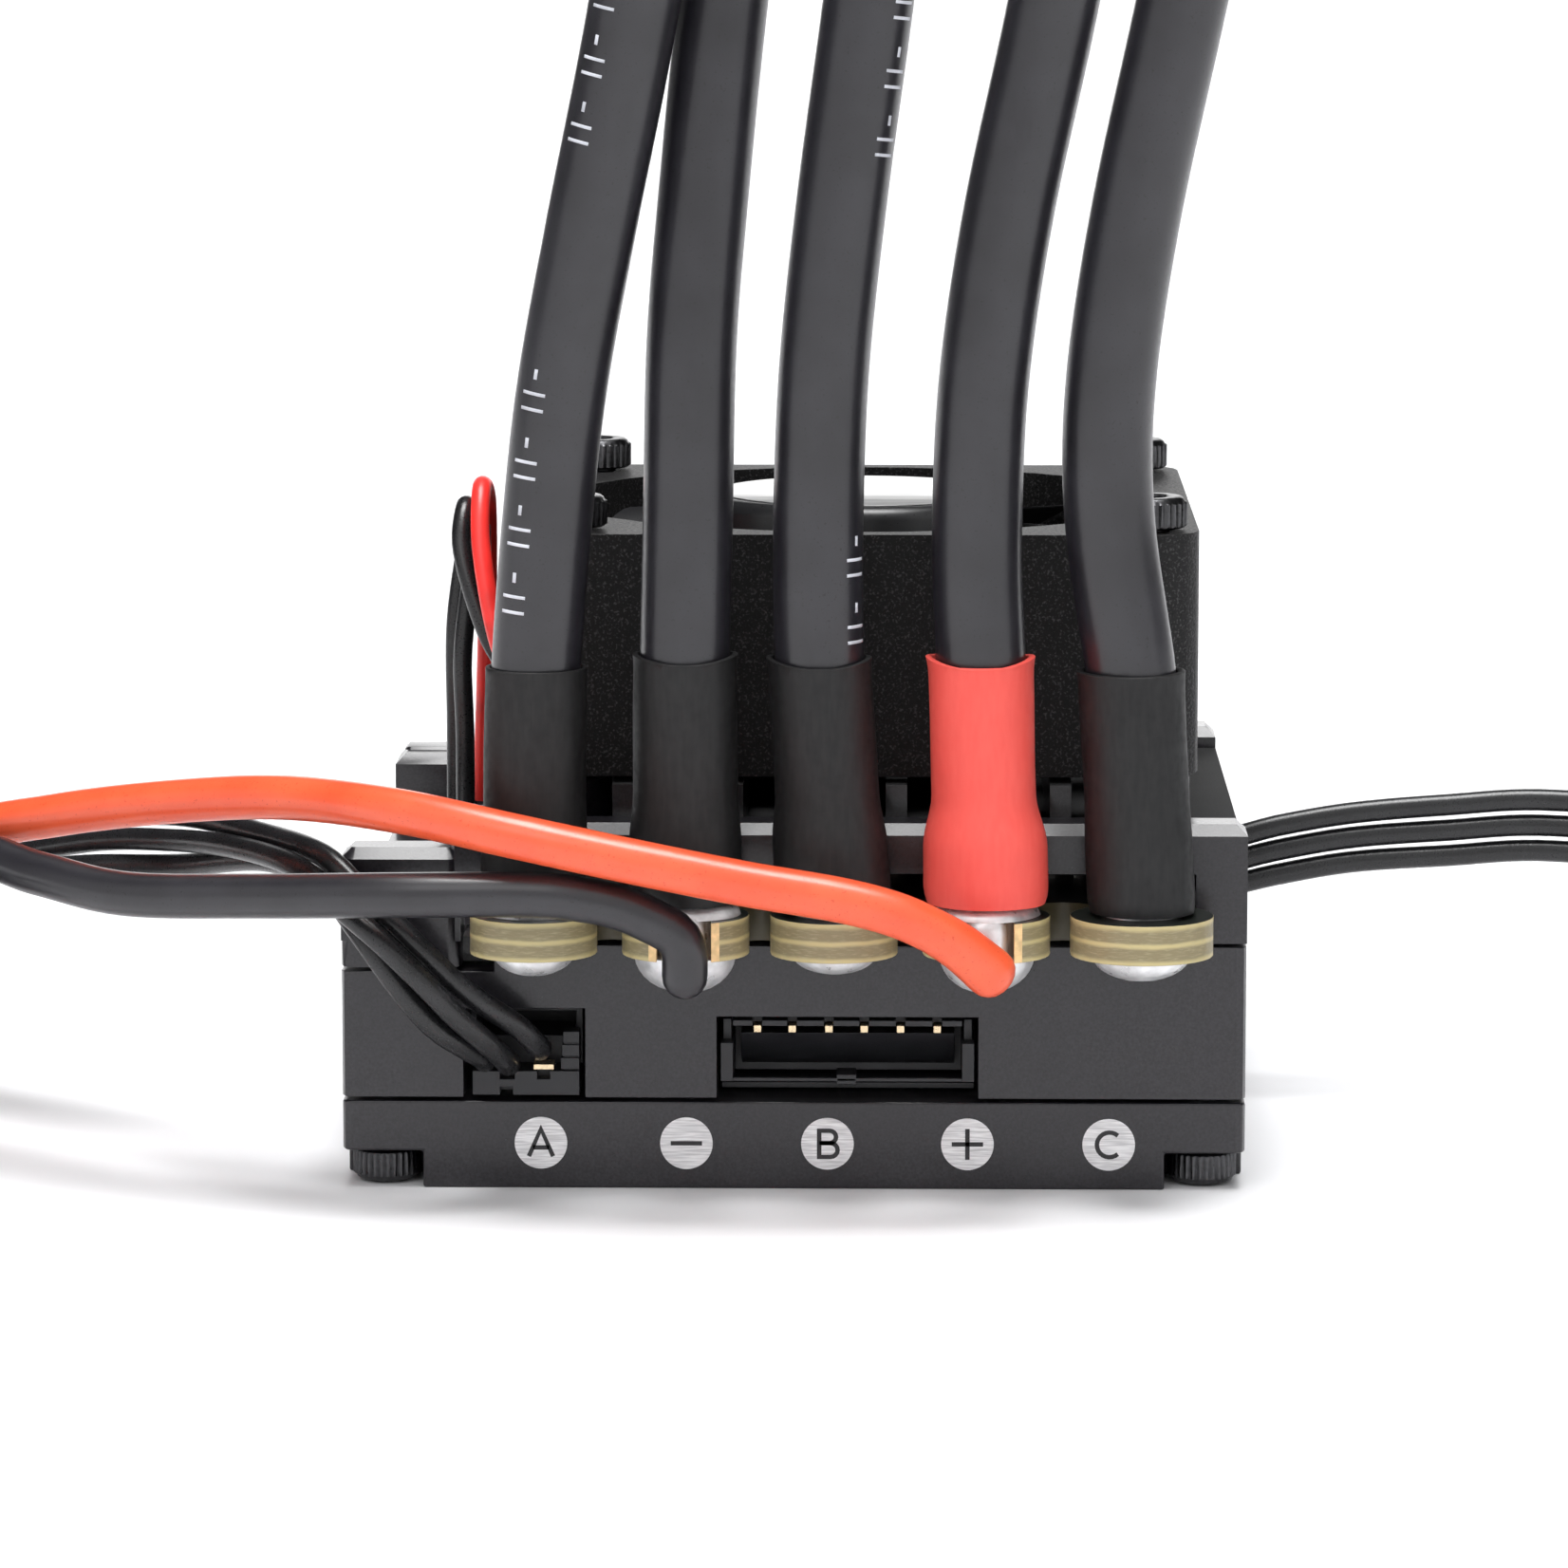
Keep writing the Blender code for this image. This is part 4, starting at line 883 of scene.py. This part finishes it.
def labels():
    """Pale round labels under the terminals, each with its terminal's mark."""
    front = box_of("base_plate")[0].y
    for key, x in LABEL_X.items():
        work = bmesh.new()
        rings = []
        for radius, y in ((LABEL_R, front + 0.05), (LABEL_R, front - 0.015),
                          (LABEL_R - 0.02, front - 0.025)):
            spots = [TURN * k / 64 for k in range(64)]
            rings.append([(x + radius * math.cos(a), y, LABEL_Z + radius * math.sin(a))
                          for a in spots])
        skin(work, rings)
        for stroke in MARKS[key]:
            draw_stroke(work, stroke, (x, front - 0.028, LABEL_Z))
        name = "label_" + key
        place(name, to_mesh(work, name), [ETCHED, MARK], slot="black_anodised")


def draw_stroke(work, stroke, origin):
    """Flat ribbon of one width along a stroke, on a face that looks to the front."""
    rows = []
    last = len(stroke) - 1
    for i, (u, v) in enumerate(stroke):
        steps = [Vector(stroke[j + 1]) - Vector(stroke[j]) for j in (i - 1, i) if 0 <= j < last]
        along = sum((step.normalized() for step in steps), Vector((0.0, 0.0))).normalized()
        across = Vector((-along.y, along.x))
        reach = STROKE / 2 / max(0.5, abs(along.dot(steps[0].normalized())))
        rows.append([work.verts.new((origin[0] + u + side * reach * across.x, origin[1],
                                     origin[2] + v + side * reach * across.y))
                     for side in (-1, 1)])
    for (a, b), (c, d) in zip(rows, rows[1:]):
        work.faces.new((a, b, d, c)).material_index = 1


def hexagon(across):
    """Radius of a hexagon of the given width across its flats, by angle."""
    sixth = TURN / 6
    return lambda angle: across / 2 / math.cos((angle + sixth / 2) % sixth - sixth / 2)


def cap_screw(node, head_r, head, shank_end, key_width):
    """Knurled cap screw. The head runs from its shank's side to its open end."""
    ridges = 30
    low, high = box_of(node)
    centre = ((low.x + high.x) / 2, (low.y + high.y) / 2)
    inner, outer = head
    way = 1 if outer > inner else -1

    def knurl(angle):
        return head_r - 0.10 * abs(math.sin(ridges * angle / 2)) ** 1.5

    profile = [(0.9, shank_end), (1.0, shank_end + 0.2 * way), (1.0, inner),
               (head_r - 0.2, inner), (head_r - 0.05, inner + 0.1 * way),
               (knurl, inner + 0.16 * way), (knurl, outer - 0.3 * way),
               (head_r - 0.13, outer - 0.24 * way), (head_r - 0.2, outer - 0.1 * way),
               (head_r - 0.34, outer), (key_width / 2 + 0.22, outer),
               (hexagon(key_width), outer - 0.12 * way), (hexagon(key_width), outer - 0.95 * way),
               (0.2, outer - 1.1 * way)]
    turned(node + "_cap", centre, profile, ridges * 6, [BLACK_STEEL], 40, replaces=[node],
           slot="blackened_steel")


def screws():
    for k in (1, 2, 3, 4):
        low, high = box_of(f"case_screw_{k}")
        cap_screw(f"case_screw_{k}", 1.75, (low.z + 1.6, low.z), high.z, 1.5)
        low, high = box_of(f"fan_screw_{k}")
        cap_screw(f"fan_screw_{k}", 2.0, (high.z - 1.6, high.z), low.z, 1.7)


# ---------------------------------------------------------------- terminals


def power_board():
    """The thick board: lacquered faces, a bare milled edge and plated slots."""
    softened("power_board", 0.05, [LAMINATE, BLACK_MASK, SLOT_PLATING, NECK_PAINTED_SHADE], segments=2,
             slot="power_laminate", change=finish_board, name="power_board_laminate")


def finish_board(work):
    """Lacquers the board's faces, plates its two slots and puts painted shade on the necks of its
    lobes.
    """
    hole_r, slot_half, neck = 1.85, 1.8, 1.6
    for face in work.faces:
        spot = face.calc_center_median() / MM
        gaps = [spot.xy - Vector((TERMINALS[key][0], TERMINAL_Y)) for key in POWER_TERMINALS]
        in_slot = any(gap.length < hole_r or (abs(gap.x) < slot_half and gap.y < -1)
                      for gap in gaps)
        if abs(face.normal.z) > 0.7:
            face.material_index = 1
        elif in_slot:
            face.material_index = 2
        # Painted shade on the necks between the lobes.
        elif spot.y > TERMINAL_Y + neck:
            face.material_index = 3


# Solder under each terminal: the dome's radius and drop, and the radius of the collar above
SOLDER_DOME = {"a": (2.05, 1.15), "minus": (2.5, 2.0), "b": (2.1, 1.0), "plus": (2.45, 1.95),
               "c": (2.45, 1.3)}
SOLDER_COLLAR = {"a": 2.4, "minus": 2.75, "b": 2.05, "plus": 2.75, "c": 2.0}


def solder_joints():
    """Bright solder: a sagging dome under each terminal and a collar round the wire above."""
    board_low, board_high = box_of("power_board")
    under, top = board_low.z - 0.02, board_high.z + 0.02
    for index, (key, (x, _)) in enumerate(TERMINALS.items()):
        radius, drop = SOLDER_DOME[key]
        collar = SOLDER_COLLAR[key]

        def uneven(r, amount=0.025, phase=index * 1.7):
            return lambda a: r * (1 + amount * math.sin(2 * a + phase)
                                  + 0.6 * amount * math.sin(5 * a - phase))

        profile = []
        for k in range(9):
            t = math.radians(88 - 10.5 * k)
            profile.append((uneven(radius * math.cos(t)), under - drop * math.sin(t)))
        profile += [(uneven(radius + 0.02), under), (1.75, under + 0.1), (1.75, top - 0.1),
                    (uneven(collar), top), (uneven(collar - 0.05, 0.04), top + 0.15),
                    (uneven(collar - 0.2, 0.04), top + 0.42), (1.9, top + 0.7),
                    (1.5, top + 0.9)]
        work = bmesh.new()
        skin(work, turned_rings((x, TERMINAL_Y), profile, 48))
        if key in POWER_TERMINALS:
            skin(work, slot_fill(x, under, top))
        name = "solder_joint_" + key
        place(name, to_mesh(work, name, 50), [SOLDER], replaces=["solder_" + key], slot="solder")


def slot_fill(x, under, top):
    """Rings of the solder that fills a terminal's open slot, bulging over its front."""
    middle, half_tall = (under + top) / 2, (top - under) / 2
    rings = []
    for y, width, tall in ((TERMINAL_Y, 1.05, 1.35), (-23.0, 1.05, 1.3), (-23.5, 0.98, 1.2),
                           (-23.85, 0.8, 1.05), (-24.0, 0.5, 0.7)):
        ring = []
        for k in range(32):
            a = TURN * k / 32
            u, v = math.cos(a), math.sin(a)
            squared = (abs(u) ** 4 + abs(v) ** 4) ** 0.25
            ring.append(Vector((x + width * u / squared, y,
                                middle + half_tall * tall * v / squared)))
        rings.append(ring)
    return rings


# Shrunk sleeves: the radii of the neck, of the bulge and of the lower edge, how far the foot
# reaches below the CAD solid's, and where and over what height the neck swells to the bulge
SLEEVES = {"a": (2.55, 2.66, 2.45), "minus": (2.62, 2.8, 2.6), "b": (2.62, 2.88, 2.6),
           "plus": (2.64, 3.12, 2.95), "c": (2.66, 2.72, 2.62)}
SLEEVE_REACH = {"a": 0.0, "minus": 0.0, "b": 0.35, "plus": 0.0, "c": 0.45}
SWELL_TOP = 20.9
SWELL_HEIGHT = 2.6


def sleeves():
    steps = 72
    for index, key in enumerate(TERMINALS):
        neck, bulge, foot_r = SLEEVES[key]
        foot, rim = sleeve_axis(key)
        low, top = foot.z - SLEEVE_REACH[key], rim.z
        dip, flare = RIM_DIP[key], RIM_FLARE[key]
        bore = WIRE_R + 0.06

        def outline(z):
            """Radius of the outside: the neck, the swelling over the joint, the tucked foot."""
            share = min(1.0, max(0.0, (SWELL_TOP - z) / SWELL_HEIGHT))
            swell = share * share * (3 - 2 * share)
            tuck = max(0.0, 1 - (z - low) / 0.9) ** 2
            lip = max(0.0, (z - top + 1.0) / 1.0) ** 2
            return neck + (bulge - neck) * swell - (bulge - foot_r) * tuck + flare * lip

        def wavy(r, z, index=index):
            return lambda a: r + 0.025 * math.sin(2 * a + 0.35 * z + index) \
                + 0.012 * math.sin(5 * a - 0.9 * z + 2 * index)

        def rim_height(a, z=top, dip=dip):
            return z - dip * math.sin(a) ** 2

        heights = [low + (top - 0.3 - low) * (k / 34) for k in range(35)]
        profile = [(wavy(outline(z), z), z) for z in heights]
        profile += [(wavy(outline(top), top), lambda a: rim_height(a) - 0.04),
                    (wavy(outline(top) - 0.05, top), rim_height),
                    (wavy(bore + flare + 0.06, top), rim_height),
                    (bore + flare, lambda a: rim_height(a) - 0.06),
                    (bore, top - 1.4), (bore, low + 0.3), (foot_r - 0.35, low)]
        work = bmesh.new()
        rings = turned_rings((foot.x, foot.y), profile, steps)
        for ring in rings:
            for point in ring:
                point.x += (rim.x - foot.x) * (point.z - low) / (top - low)
        skin(work, rings, closed=True)
        finish, slot = (RED_SLEEVE, "red_sleeve") if key == "plus" else (BLACK_SLEEVE,
                                                                         "black_sleeve")
        name = "shrunk_sleeve_" + key
        place(name, to_mesh(work, name, 50), [finish], replaces=["sleeve_" + key], slot=slot)


# ---------------------------------------------------------------- sockets and boards


SENSOR_PIN_X = (-1.84, -0.07, 1.8, 3.6, 5.45, 7.32)
SENSOR_PIN_Z = (7.96, 8.36)


def sensor_socket():
    """Six-way socket: thin walls, a notched upper wall, a lower lip with a key, and gold pins."""
    low, high = box_of("sensor_socket")
    front, rear = low.y, high.y
    work = bmesh.new()
    edge = 0.62
    for x in ((low.x, low.x + edge), (high.x - edge, high.x)):
        slab(work, x, (front, rear), (low.z + 0.75, high.z - 1.15))
        slab(work, (x[0] + 0.1, x[1] - 0.1), (front + 1.1, rear), (high.z - 1.2, high.z - 0.1))
    starts = [low.x + edge, *(x + 0.24 for x in SENSOR_PIN_X)]
    stops = [*(x - 0.24 for x in SENSOR_PIN_X), high.x - edge]
    for x in zip(starts, stops):
        slab(work, x, (front + 0.1, front + 1.3), (high.z - 0.3, high.z))
    slab(work, (low.x + edge, high.x - edge), (front + 1.3, rear), (high.z - 0.3, high.z))
    slab(work, (low.x, high.x), (front + 0.1, front + 0.5), (low.z + 0.74, low.z + 0.92))
    slab(work, (low.x, high.x), (front + 2.2, rear), (low.z, low.z + 0.3))
    slab(work, (2.2, 3.2), (front + 0.1, front + 2.0), (low.z + 0.6, low.z + 1.1))
    slab(work, (low.x + edge, high.x - edge), (rear - 1.6, rear), (low.z + 0.6, high.z - 0.3))
    tongue = ((front + 1.2, high.z - 0.85), (rear - 1.7, high.z - 0.85),
              (rear - 1.7, low.z + 1.0), (front + 2.4, low.z + 1.6))
    skin(work, [[(x, y, z) for y, z in tongue] for x in (low.x + 1.0, high.x - 1.0)])
    edged("sensor_socket_shell", work, 0.04, [SOCKET_PLASTIC], replaces=["sensor_socket"],
          slot="black_plastic")
    pins = bmesh.new()
    for x in SENSOR_PIN_X:
        slab(pins, (x - 0.2, x + 0.2), (front + 0.6, rear - 1.0), SENSOR_PIN_Z)
    edged("sensor_pins", pins, 0.05, [GOLD], slot="solder")


# Notches in the lower edge and the upper edge of the receiver plug's front, in drawing order
PLUG_KEYS = ((-14.95, -14.3),)
PLUG_WINDOWS = ((-12.4, -13.05), (-14.2, -14.95))


def notched(start, stop, level, depth, notches):
    """Points of a straight edge with notches that reach to another level."""
    points = [(start, level)]
    for enter, leave in notches:
        points += [(enter, level), (enter, depth), (leave, depth), (leave, level)]
    return [*points, (stop, level)]


def receiver_socket():
    """Three-way socket filled by its plug, whose contacts show in small windows."""
    low, high = box_of("receiver_socket")
    plug_low, plug_high = box_of("receiver_plug")
    front = plug_low.y
    foot, sill = low.z, low.z + 1.25
    shell = bmesh.new()
    for x in ((low.x, low.x + 0.35), (high.x - 0.35, high.x)):
        slab(shell, x, (low.y + 1.8, high.y), (sill + 0.05, high.z))
    slab(shell, (low.x + 0.3, high.x - 0.3), (low.y + 1.8, high.y), (high.z - 0.3, high.z))
    slab(shell, (low.x + 0.3, high.x - 0.3), (high.y - 0.8, high.y), (sill, high.z - 0.3))
    edged("receiver_socket_shell", shell, 0.04, [SOCKET_PLASTIC], replaces=["receiver_socket"],
          slot="black_plastic")
    work = bmesh.new()
    left, right = low.x + 0.25, high.x - 0.1
    slab(work, (left, right), (front + 0.9, plug_high.y), (low.z + 0.1, sill))
    slab(work, (left + 0.4, right - 0.5), (front + 2.2, plug_high.y), (sill, high.z - 1.6))
    outline = [*notched(left, right, foot, foot + 0.42, PLUG_KEYS),
               *notched(right, left, sill, sill - 0.42, PLUG_WINDOWS)]
    skin(work, [[(x, y, z) for x, z in outline] for y in (front + 1.0, front)])
    for k in range(3):
        z = sill + 0.08 + 0.68 * k
        slab(work, (right - 0.95 + 0.06 * k, right), (front + 0.05, front + 1.4), (z, z + 0.6))
    slab(work, (right - 0.8, right), (front + 0.2, front + 1.4), (sill, sill + 2.0))
    edged("receiver_plug_body", work, 0.04, [SOCKET_PLASTIC], replaces=["receiver_plug"],
          slot="black_plastic")
    contacts = bmesh.new()
    slab(contacts, (-13.24, -12.2), (front + 0.05, front + 1.4), (sill + 0.06, sill + 0.34))
    slab(contacts, (-15.6, -15.46), (front - 0.02, front + 0.6), (sill + 0.01, sill + 0.12))
    slab(contacts, (-14.1, -13.94), (front - 0.02, front + 0.6), (sill + 0.15, sill + 0.3))
    edged("receiver_contacts", contacts, 0.03, [GOLD], slot="solder")


def inner_boards():
    """Control board with its small parts, its link, the transistors and the thermal pad."""
    low, high = box_of("control_board")
    work = bmesh.new()
    slab(work, (low.x, high.x), (low.y, high.y), (low.z, high.z))
    for x, y, w, d, h in ((-9, -2, 7, 7, 1.0), (2, 4, 5, 5, 0.9), (10, -4, 4, 6, 1.1),
                          (-10, 10, 3, 2, 0.8), (9, 8, 2.5, 5, 0.8), (0, -7, 3, 1.6, 0.7)):
        slab(work, (x - w / 2, x + w / 2), (y - d / 2, y + d / 2), (high.z, high.z + h), 1)
    for k in range(14):
        x = -14 + 2.1 * k
        slab(work, (x, x + 1.0), (13.0, 13.5), (high.z, high.z + 0.45), 2)
    edged("control_board_parts", work, 0.06, [GREEN_MASK, SOCKET_PLASTIC, TINNED],
          replaces=["control_board"])
    low, high = box_of("board_link")
    work = bmesh.new()
    slab(work, (low.x, high.x), (low.y, high.y), (low.z + 0.5, high.z - 0.3))
    count = 8
    for k in range(count):
        x = low.x + (high.x - low.x) * (k + 0.5) / count
        slab(work, (x - 0.25, x + 0.25), (low.y + 0.9, low.y + 1.5), (low.z, high.z), 1)
    edged("board_link_header", work, 0.05, [SOCKET_PLASTIC, GOLD], replaces=["board_link"],
          slot="black_plastic")
    for key in ("a", "b", "c"):
        node = "transistor_" + key
        low, high = box_of(node)
        work = bmesh.new()
        slab(work, (low.x + 0.3, high.x - 0.3), (low.y + 1.2, high.y - 1.6), (low.z, high.z))
        slab(work, (low.x + 0.5, high.x - 0.5), (high.y - 1.7, high.y), (low.z, low.z + 0.25), 1)
        for k in range(5):
            x = low.x + 0.8 + 1.45 * k
            slab(work, (x, x + 0.6), (low.y, low.y + 1.3), (low.z, low.z + 0.25), 1)
        edged(node + "_package", work, 0.08, [SOCKET_PLASTIC, TINNED], replaces=[node],
              slot="black_plastic")
    softened("thermal_pad", 0.2, [PAD], slot="thermal_pad")


# ---------------------------------------------------------------- fan


def fan_frame():
    softened("fan_frame", 0.14, [FAN_PLASTIC], slot="fan_plastic")


def fan_axis():
    low, high = box_of("fan_frame")
    return (low.x + high.x) / 2, (low.y + high.y) / 2


def fan_rotor():
    """Hub cup with seven thin curved blades and a blank label film on its top."""
    x, y = fan_axis()
    hub_r, top, blades = 8.6, 33.4, 7
    tip_r = box_of("fan_frame")[1].x - x - 2.0
    profile = [(0.3, 22.3), (0.75, 22.5), (0.75, 31.6), (hub_r - 1.2, 31.6), (hub_r - 1.2, 23.5),
               (hub_r - 0.1, 23.4), (hub_r, 23.6), (hub_r, 32.7), (hub_r - 0.15, 33.05),
               (hub_r - 0.45, 33.3), (hub_r - 0.7, top - 0.02), (hub_r - 0.95, top - 0.06),
               (0.3, top - 0.06)]
    work = bmesh.new()
    skin(work, turned_rings((x, y), profile, 96))
    for k in range(blades):
        skin(work, blade_rings((x, y), TURN * k / blades, hub_r - 0.6, tip_r))
    place("fan_rotor_blades", to_mesh(work, "fan_rotor", 35), [ROTOR_PLASTIC],
          "fan_rotor_body", ["fan_rotor"], "fan_plastic")
    turned("hub_film", (x, y), [(7.5, top - 0.08), (7.55, top), (7.5, top + 0.03)], 96, [FILM],
           body="fan_rotor_body", slot="fan_plastic")


def blade_rings(centre, angle, inner, outer):
    """Closed sections of a blade from its root to its tip, thin at both edges."""
    stations, cuts, half = 11, 15, 0.45
    rings = []
    for i in range(stations):
        t = i / (stations - 1)
        radius = inner + (outer - inner) * t
        span = math.radians(20.0 - 4.0 * t)
        tall = 3.4 - 0.5 * t
        upper, under = [], []
        for j in range(cuts):
            s = 2 * j / (cuts - 1) - 1
            turn = angle + s * span + 0.12 * t
            height = 28.6 - s * tall + 0.8 * (1 - s * s)
            thick = half * max(0.12, math.sqrt(1 - abs(s) ** 3)) * (1 - 0.35 * t)
            spot = (centre[0] + radius * math.cos(turn), centre[1] + radius * math.sin(turn))
            upper.append(Vector((*spot, height + thick)))
            under.append(Vector((*spot, height - thick)))
        rings.append(upper + under[::-1])
    return rings


def fan_stator():
    """Nine wound poles on the bearing tube."""
    low, high = box_of("fan_stator")

    def pole(r):
        return lambda a: r * (1 - 0.16 * abs(math.sin(4.5 * a)) ** 4)

    profile = [(1.2, low.z), (2.2, low.z), (2.2, 23.8), (pole(5.2), 23.9), (pole(6.3), 24.3),
               (pole(6.6), 25.2), (pole(6.6), 29.8), (pole(6.2), 30.6), (pole(5.0), high.z),
               (1.2, high.z)]
    turned("fan_stator_poles", fan_axis(), profile, 108, [COPPER], closed=True,
           replaces=["fan_stator"], slot="copper_coils")


def fan_plug():
    """Small plug of the fan's wires, with grip ridges on its left side."""
    low, high = box_of("fan_plug")
    work = bmesh.new()
    slab(work, (low.x, high.x), (low.y, high.y), (low.z, high.z - 0.7))
    slab(work, (low.x + 0.3, high.x - 0.3), (low.y + 0.3, high.y - 0.3), (high.z - 0.8, high.z))
    for k in range(3):
        z = low.z + 0.6 + 0.75 * k
        slab(work, (low.x - 0.08, low.x + 0.2), (low.y + 0.5, high.y - 0.5), (z, z + 0.35))
    edged("fan_plug_body", work, 0.08, [SOCKET_PLASTIC], replaces=["fan_plug"],
          slot="black_plastic")


# ---------------------------------------------------------------- pieces on the leads


def lying(work, origin):
    """Turns an upright shape so that its axis points to -X, and moves it into place."""
    turn = Matrix.Rotation(math.radians(-90), 4, "Y")
    bmesh.ops.transform(work, matrix=Matrix.Translation(origin) @ turn, verts=work.verts)


def capacitors():
    """Two sleeved cans, each with a groove near its leads and three vent lines on its top."""
    for k in (1, 2):
        node = f"capacitor_{k}"
        low, high = box_of(node)
        centre, half, r = (low + high) / 2, (high.x - low.x) / 2, (high.z - low.z) / 2 - 0.02
        sleeve = [(r - 1.5, -half), (r - 0.5, -half), (r - 0.1, 0.25 - half), (r, 0.7 - half),
                  (r, 1.7 - half), (r - 0.35, 2.1 - half), (r - 0.35, 2.5 - half),
                  (r, 2.9 - half), (r, half - 0.6), (r - 0.2, half - 0.15), (r - 0.7, half),
                  (r - 1.0, half - 0.15)]
        work = bmesh.new()
        skin(work, turned_rings((0, 0), sleeve, 64))
        top = [(r - 0.9, half - 0.5), (r - 0.95, half - 0.12), (0.2, half - 0.12)]
        skin(work, turned_rings((0, 0), top, 64), material=1)
        for angle in (0, 120, 240):
            bar = slab(work, (0.3, r - 1.6), (-0.12, 0.12), (half - 0.2, half - 0.06), 2)
            bmesh.ops.rotate(work, cent=(0, 0, 0), matrix=Matrix.Rotation(math.radians(angle), 3,
                             "Z"), verts=bar)
        lying(work, centre)
        place(node + "_can", to_mesh(work, node, 35), [CAN_SLEEVE, BARE_ALUMINIUM, BLACK_STEEL],
              replaces=[node], slot="capacitor_sleeve")


def capacitor_board():
    """Small board with plated pads where the leads and the capacitors are soldered."""
    low, high = box_of("cap_board")
    work = bmesh.new()
    slab(work, (low.x, high.x), (low.y, high.y), (low.z, high.z))
    for y in (-7.0, -1.2):
        skin(work, swollen((high.x, y, 8.4), 1.7, 0.8), material=1)
    for y in (-11.7, -6.7, -1.3, 3.7):
        skin(work, swollen((high.x, y, 5.1), 1.0, 0.7), material=1)
    edged("cap_board_pads", work, 0.1, [BLACK_MASK, SOLDER], 35, replaces=["cap_board"],
          slot="power_laminate")


def swollen(origin, radius, rise):
    """Rings of a low round bump that stands on a face looking to +X."""
    x, y, z = origin
    rings = []
    for r, h in ((1.0, -0.1), (1.0, 0.08), (0.86, 0.45), (0.6, 0.8), (0.25, 1.0)):
        rings.append([Vector((x + h * rise, y + r * radius * math.cos(TURN * k / 32),
                              z + r * radius * math.sin(TURN * k / 32))) for k in range(32)])
    return rings


def servo_plug():
    """Three-way plug: a ribbed block with contact windows in its top and sockets in its end."""
    low, high = box_of("servo_plug")
    work = bmesh.new()
    slab(work, (low.x + 0.05, high.x - 0.05), (low.y + 1.2, high.y), (low.z, high.z))
    slab(work, (low.x + 0.05, high.x - 0.05), (low.y, low.y + 1.3), (low.z, low.z + 0.5))
    slab(work, (low.x + 0.05, high.x - 0.05), (low.y, low.y + 1.3), (high.z - 0.5, high.z))
    for k in range(4):
        x = low.x + 0.05 + (high.x - low.x - 0.6) * k / 3
        slab(work, (x, x + 0.5), (low.y, low.y + 1.3), (low.z, high.z))
    for k in range(5):
        y = high.y - 2.2 - 0.9 * k
        for x in (low.x - 0.05, high.x - 0.25):
            slab(work, (x, x + 0.3), (y, y + 0.45), (low.z + 0.3, high.z - 0.3))
    for k in range(3):
        x = low.x + 1.55 + 2.33 * k
        slab(work, (x - 0.4, x + 0.4), (low.y + 3.0, low.y + 6.0), (high.z - 0.2, high.z + 0.01),
             1)
    edged("servo_plug_body", work, 0.08, [SOCKET_PLASTIC, GOLD], replaces=["servo_plug"],
          slot="black_plastic")


def switch():
    """Small power switch: a case with a rim round its push button."""
    softened("switch_case", 0.25, [LEAD_PLASTIC], slot="black_plastic")
    low, high = box_of("switch_case")
    middle = ((low.x + high.x) / 2, (low.y + high.y) / 2)
    ring = [(3.35, high.z - 0.4), (4.3, high.z - 0.4), (4.3, high.z - 0.02), (4.1, high.z + 0.25),
            (3.6, high.z + 0.3), (3.35, high.z + 0.1)]
    turned("switch_rim", middle, ring, 64, [LEAD_PLASTIC], 40, closed=True,
           slot="black_plastic")
    low, high = box_of("switch_button")
    dome = [(2.2, low.z), (2.95, low.z + 0.05), (2.95, high.z - 0.5), (2.8, high.z - 0.2),
            (2.45, high.z - 0.03), (2.1, high.z), (1.6, high.z - 0.12), (0.8, high.z - 0.22),
            (0.1, high.z - 0.24)]
    turned("button_cap", middle, dome, 64, [BUTTON_PLASTIC], body="button_body",
           replaces=["switch_button"], slot="button_grey")


for make in (camera, studio, floor, capacitors, capacitor_board, servo_plug, switch, main_wires,
             capacitor_leads, strand_leads, fan_leads, case, labels, screws, power_board,
             solder_joints, sleeves, sensor_socket, receiver_socket, inner_boards, fan_frame,
             fan_rotor, fan_stator, fan_plug):
    make()
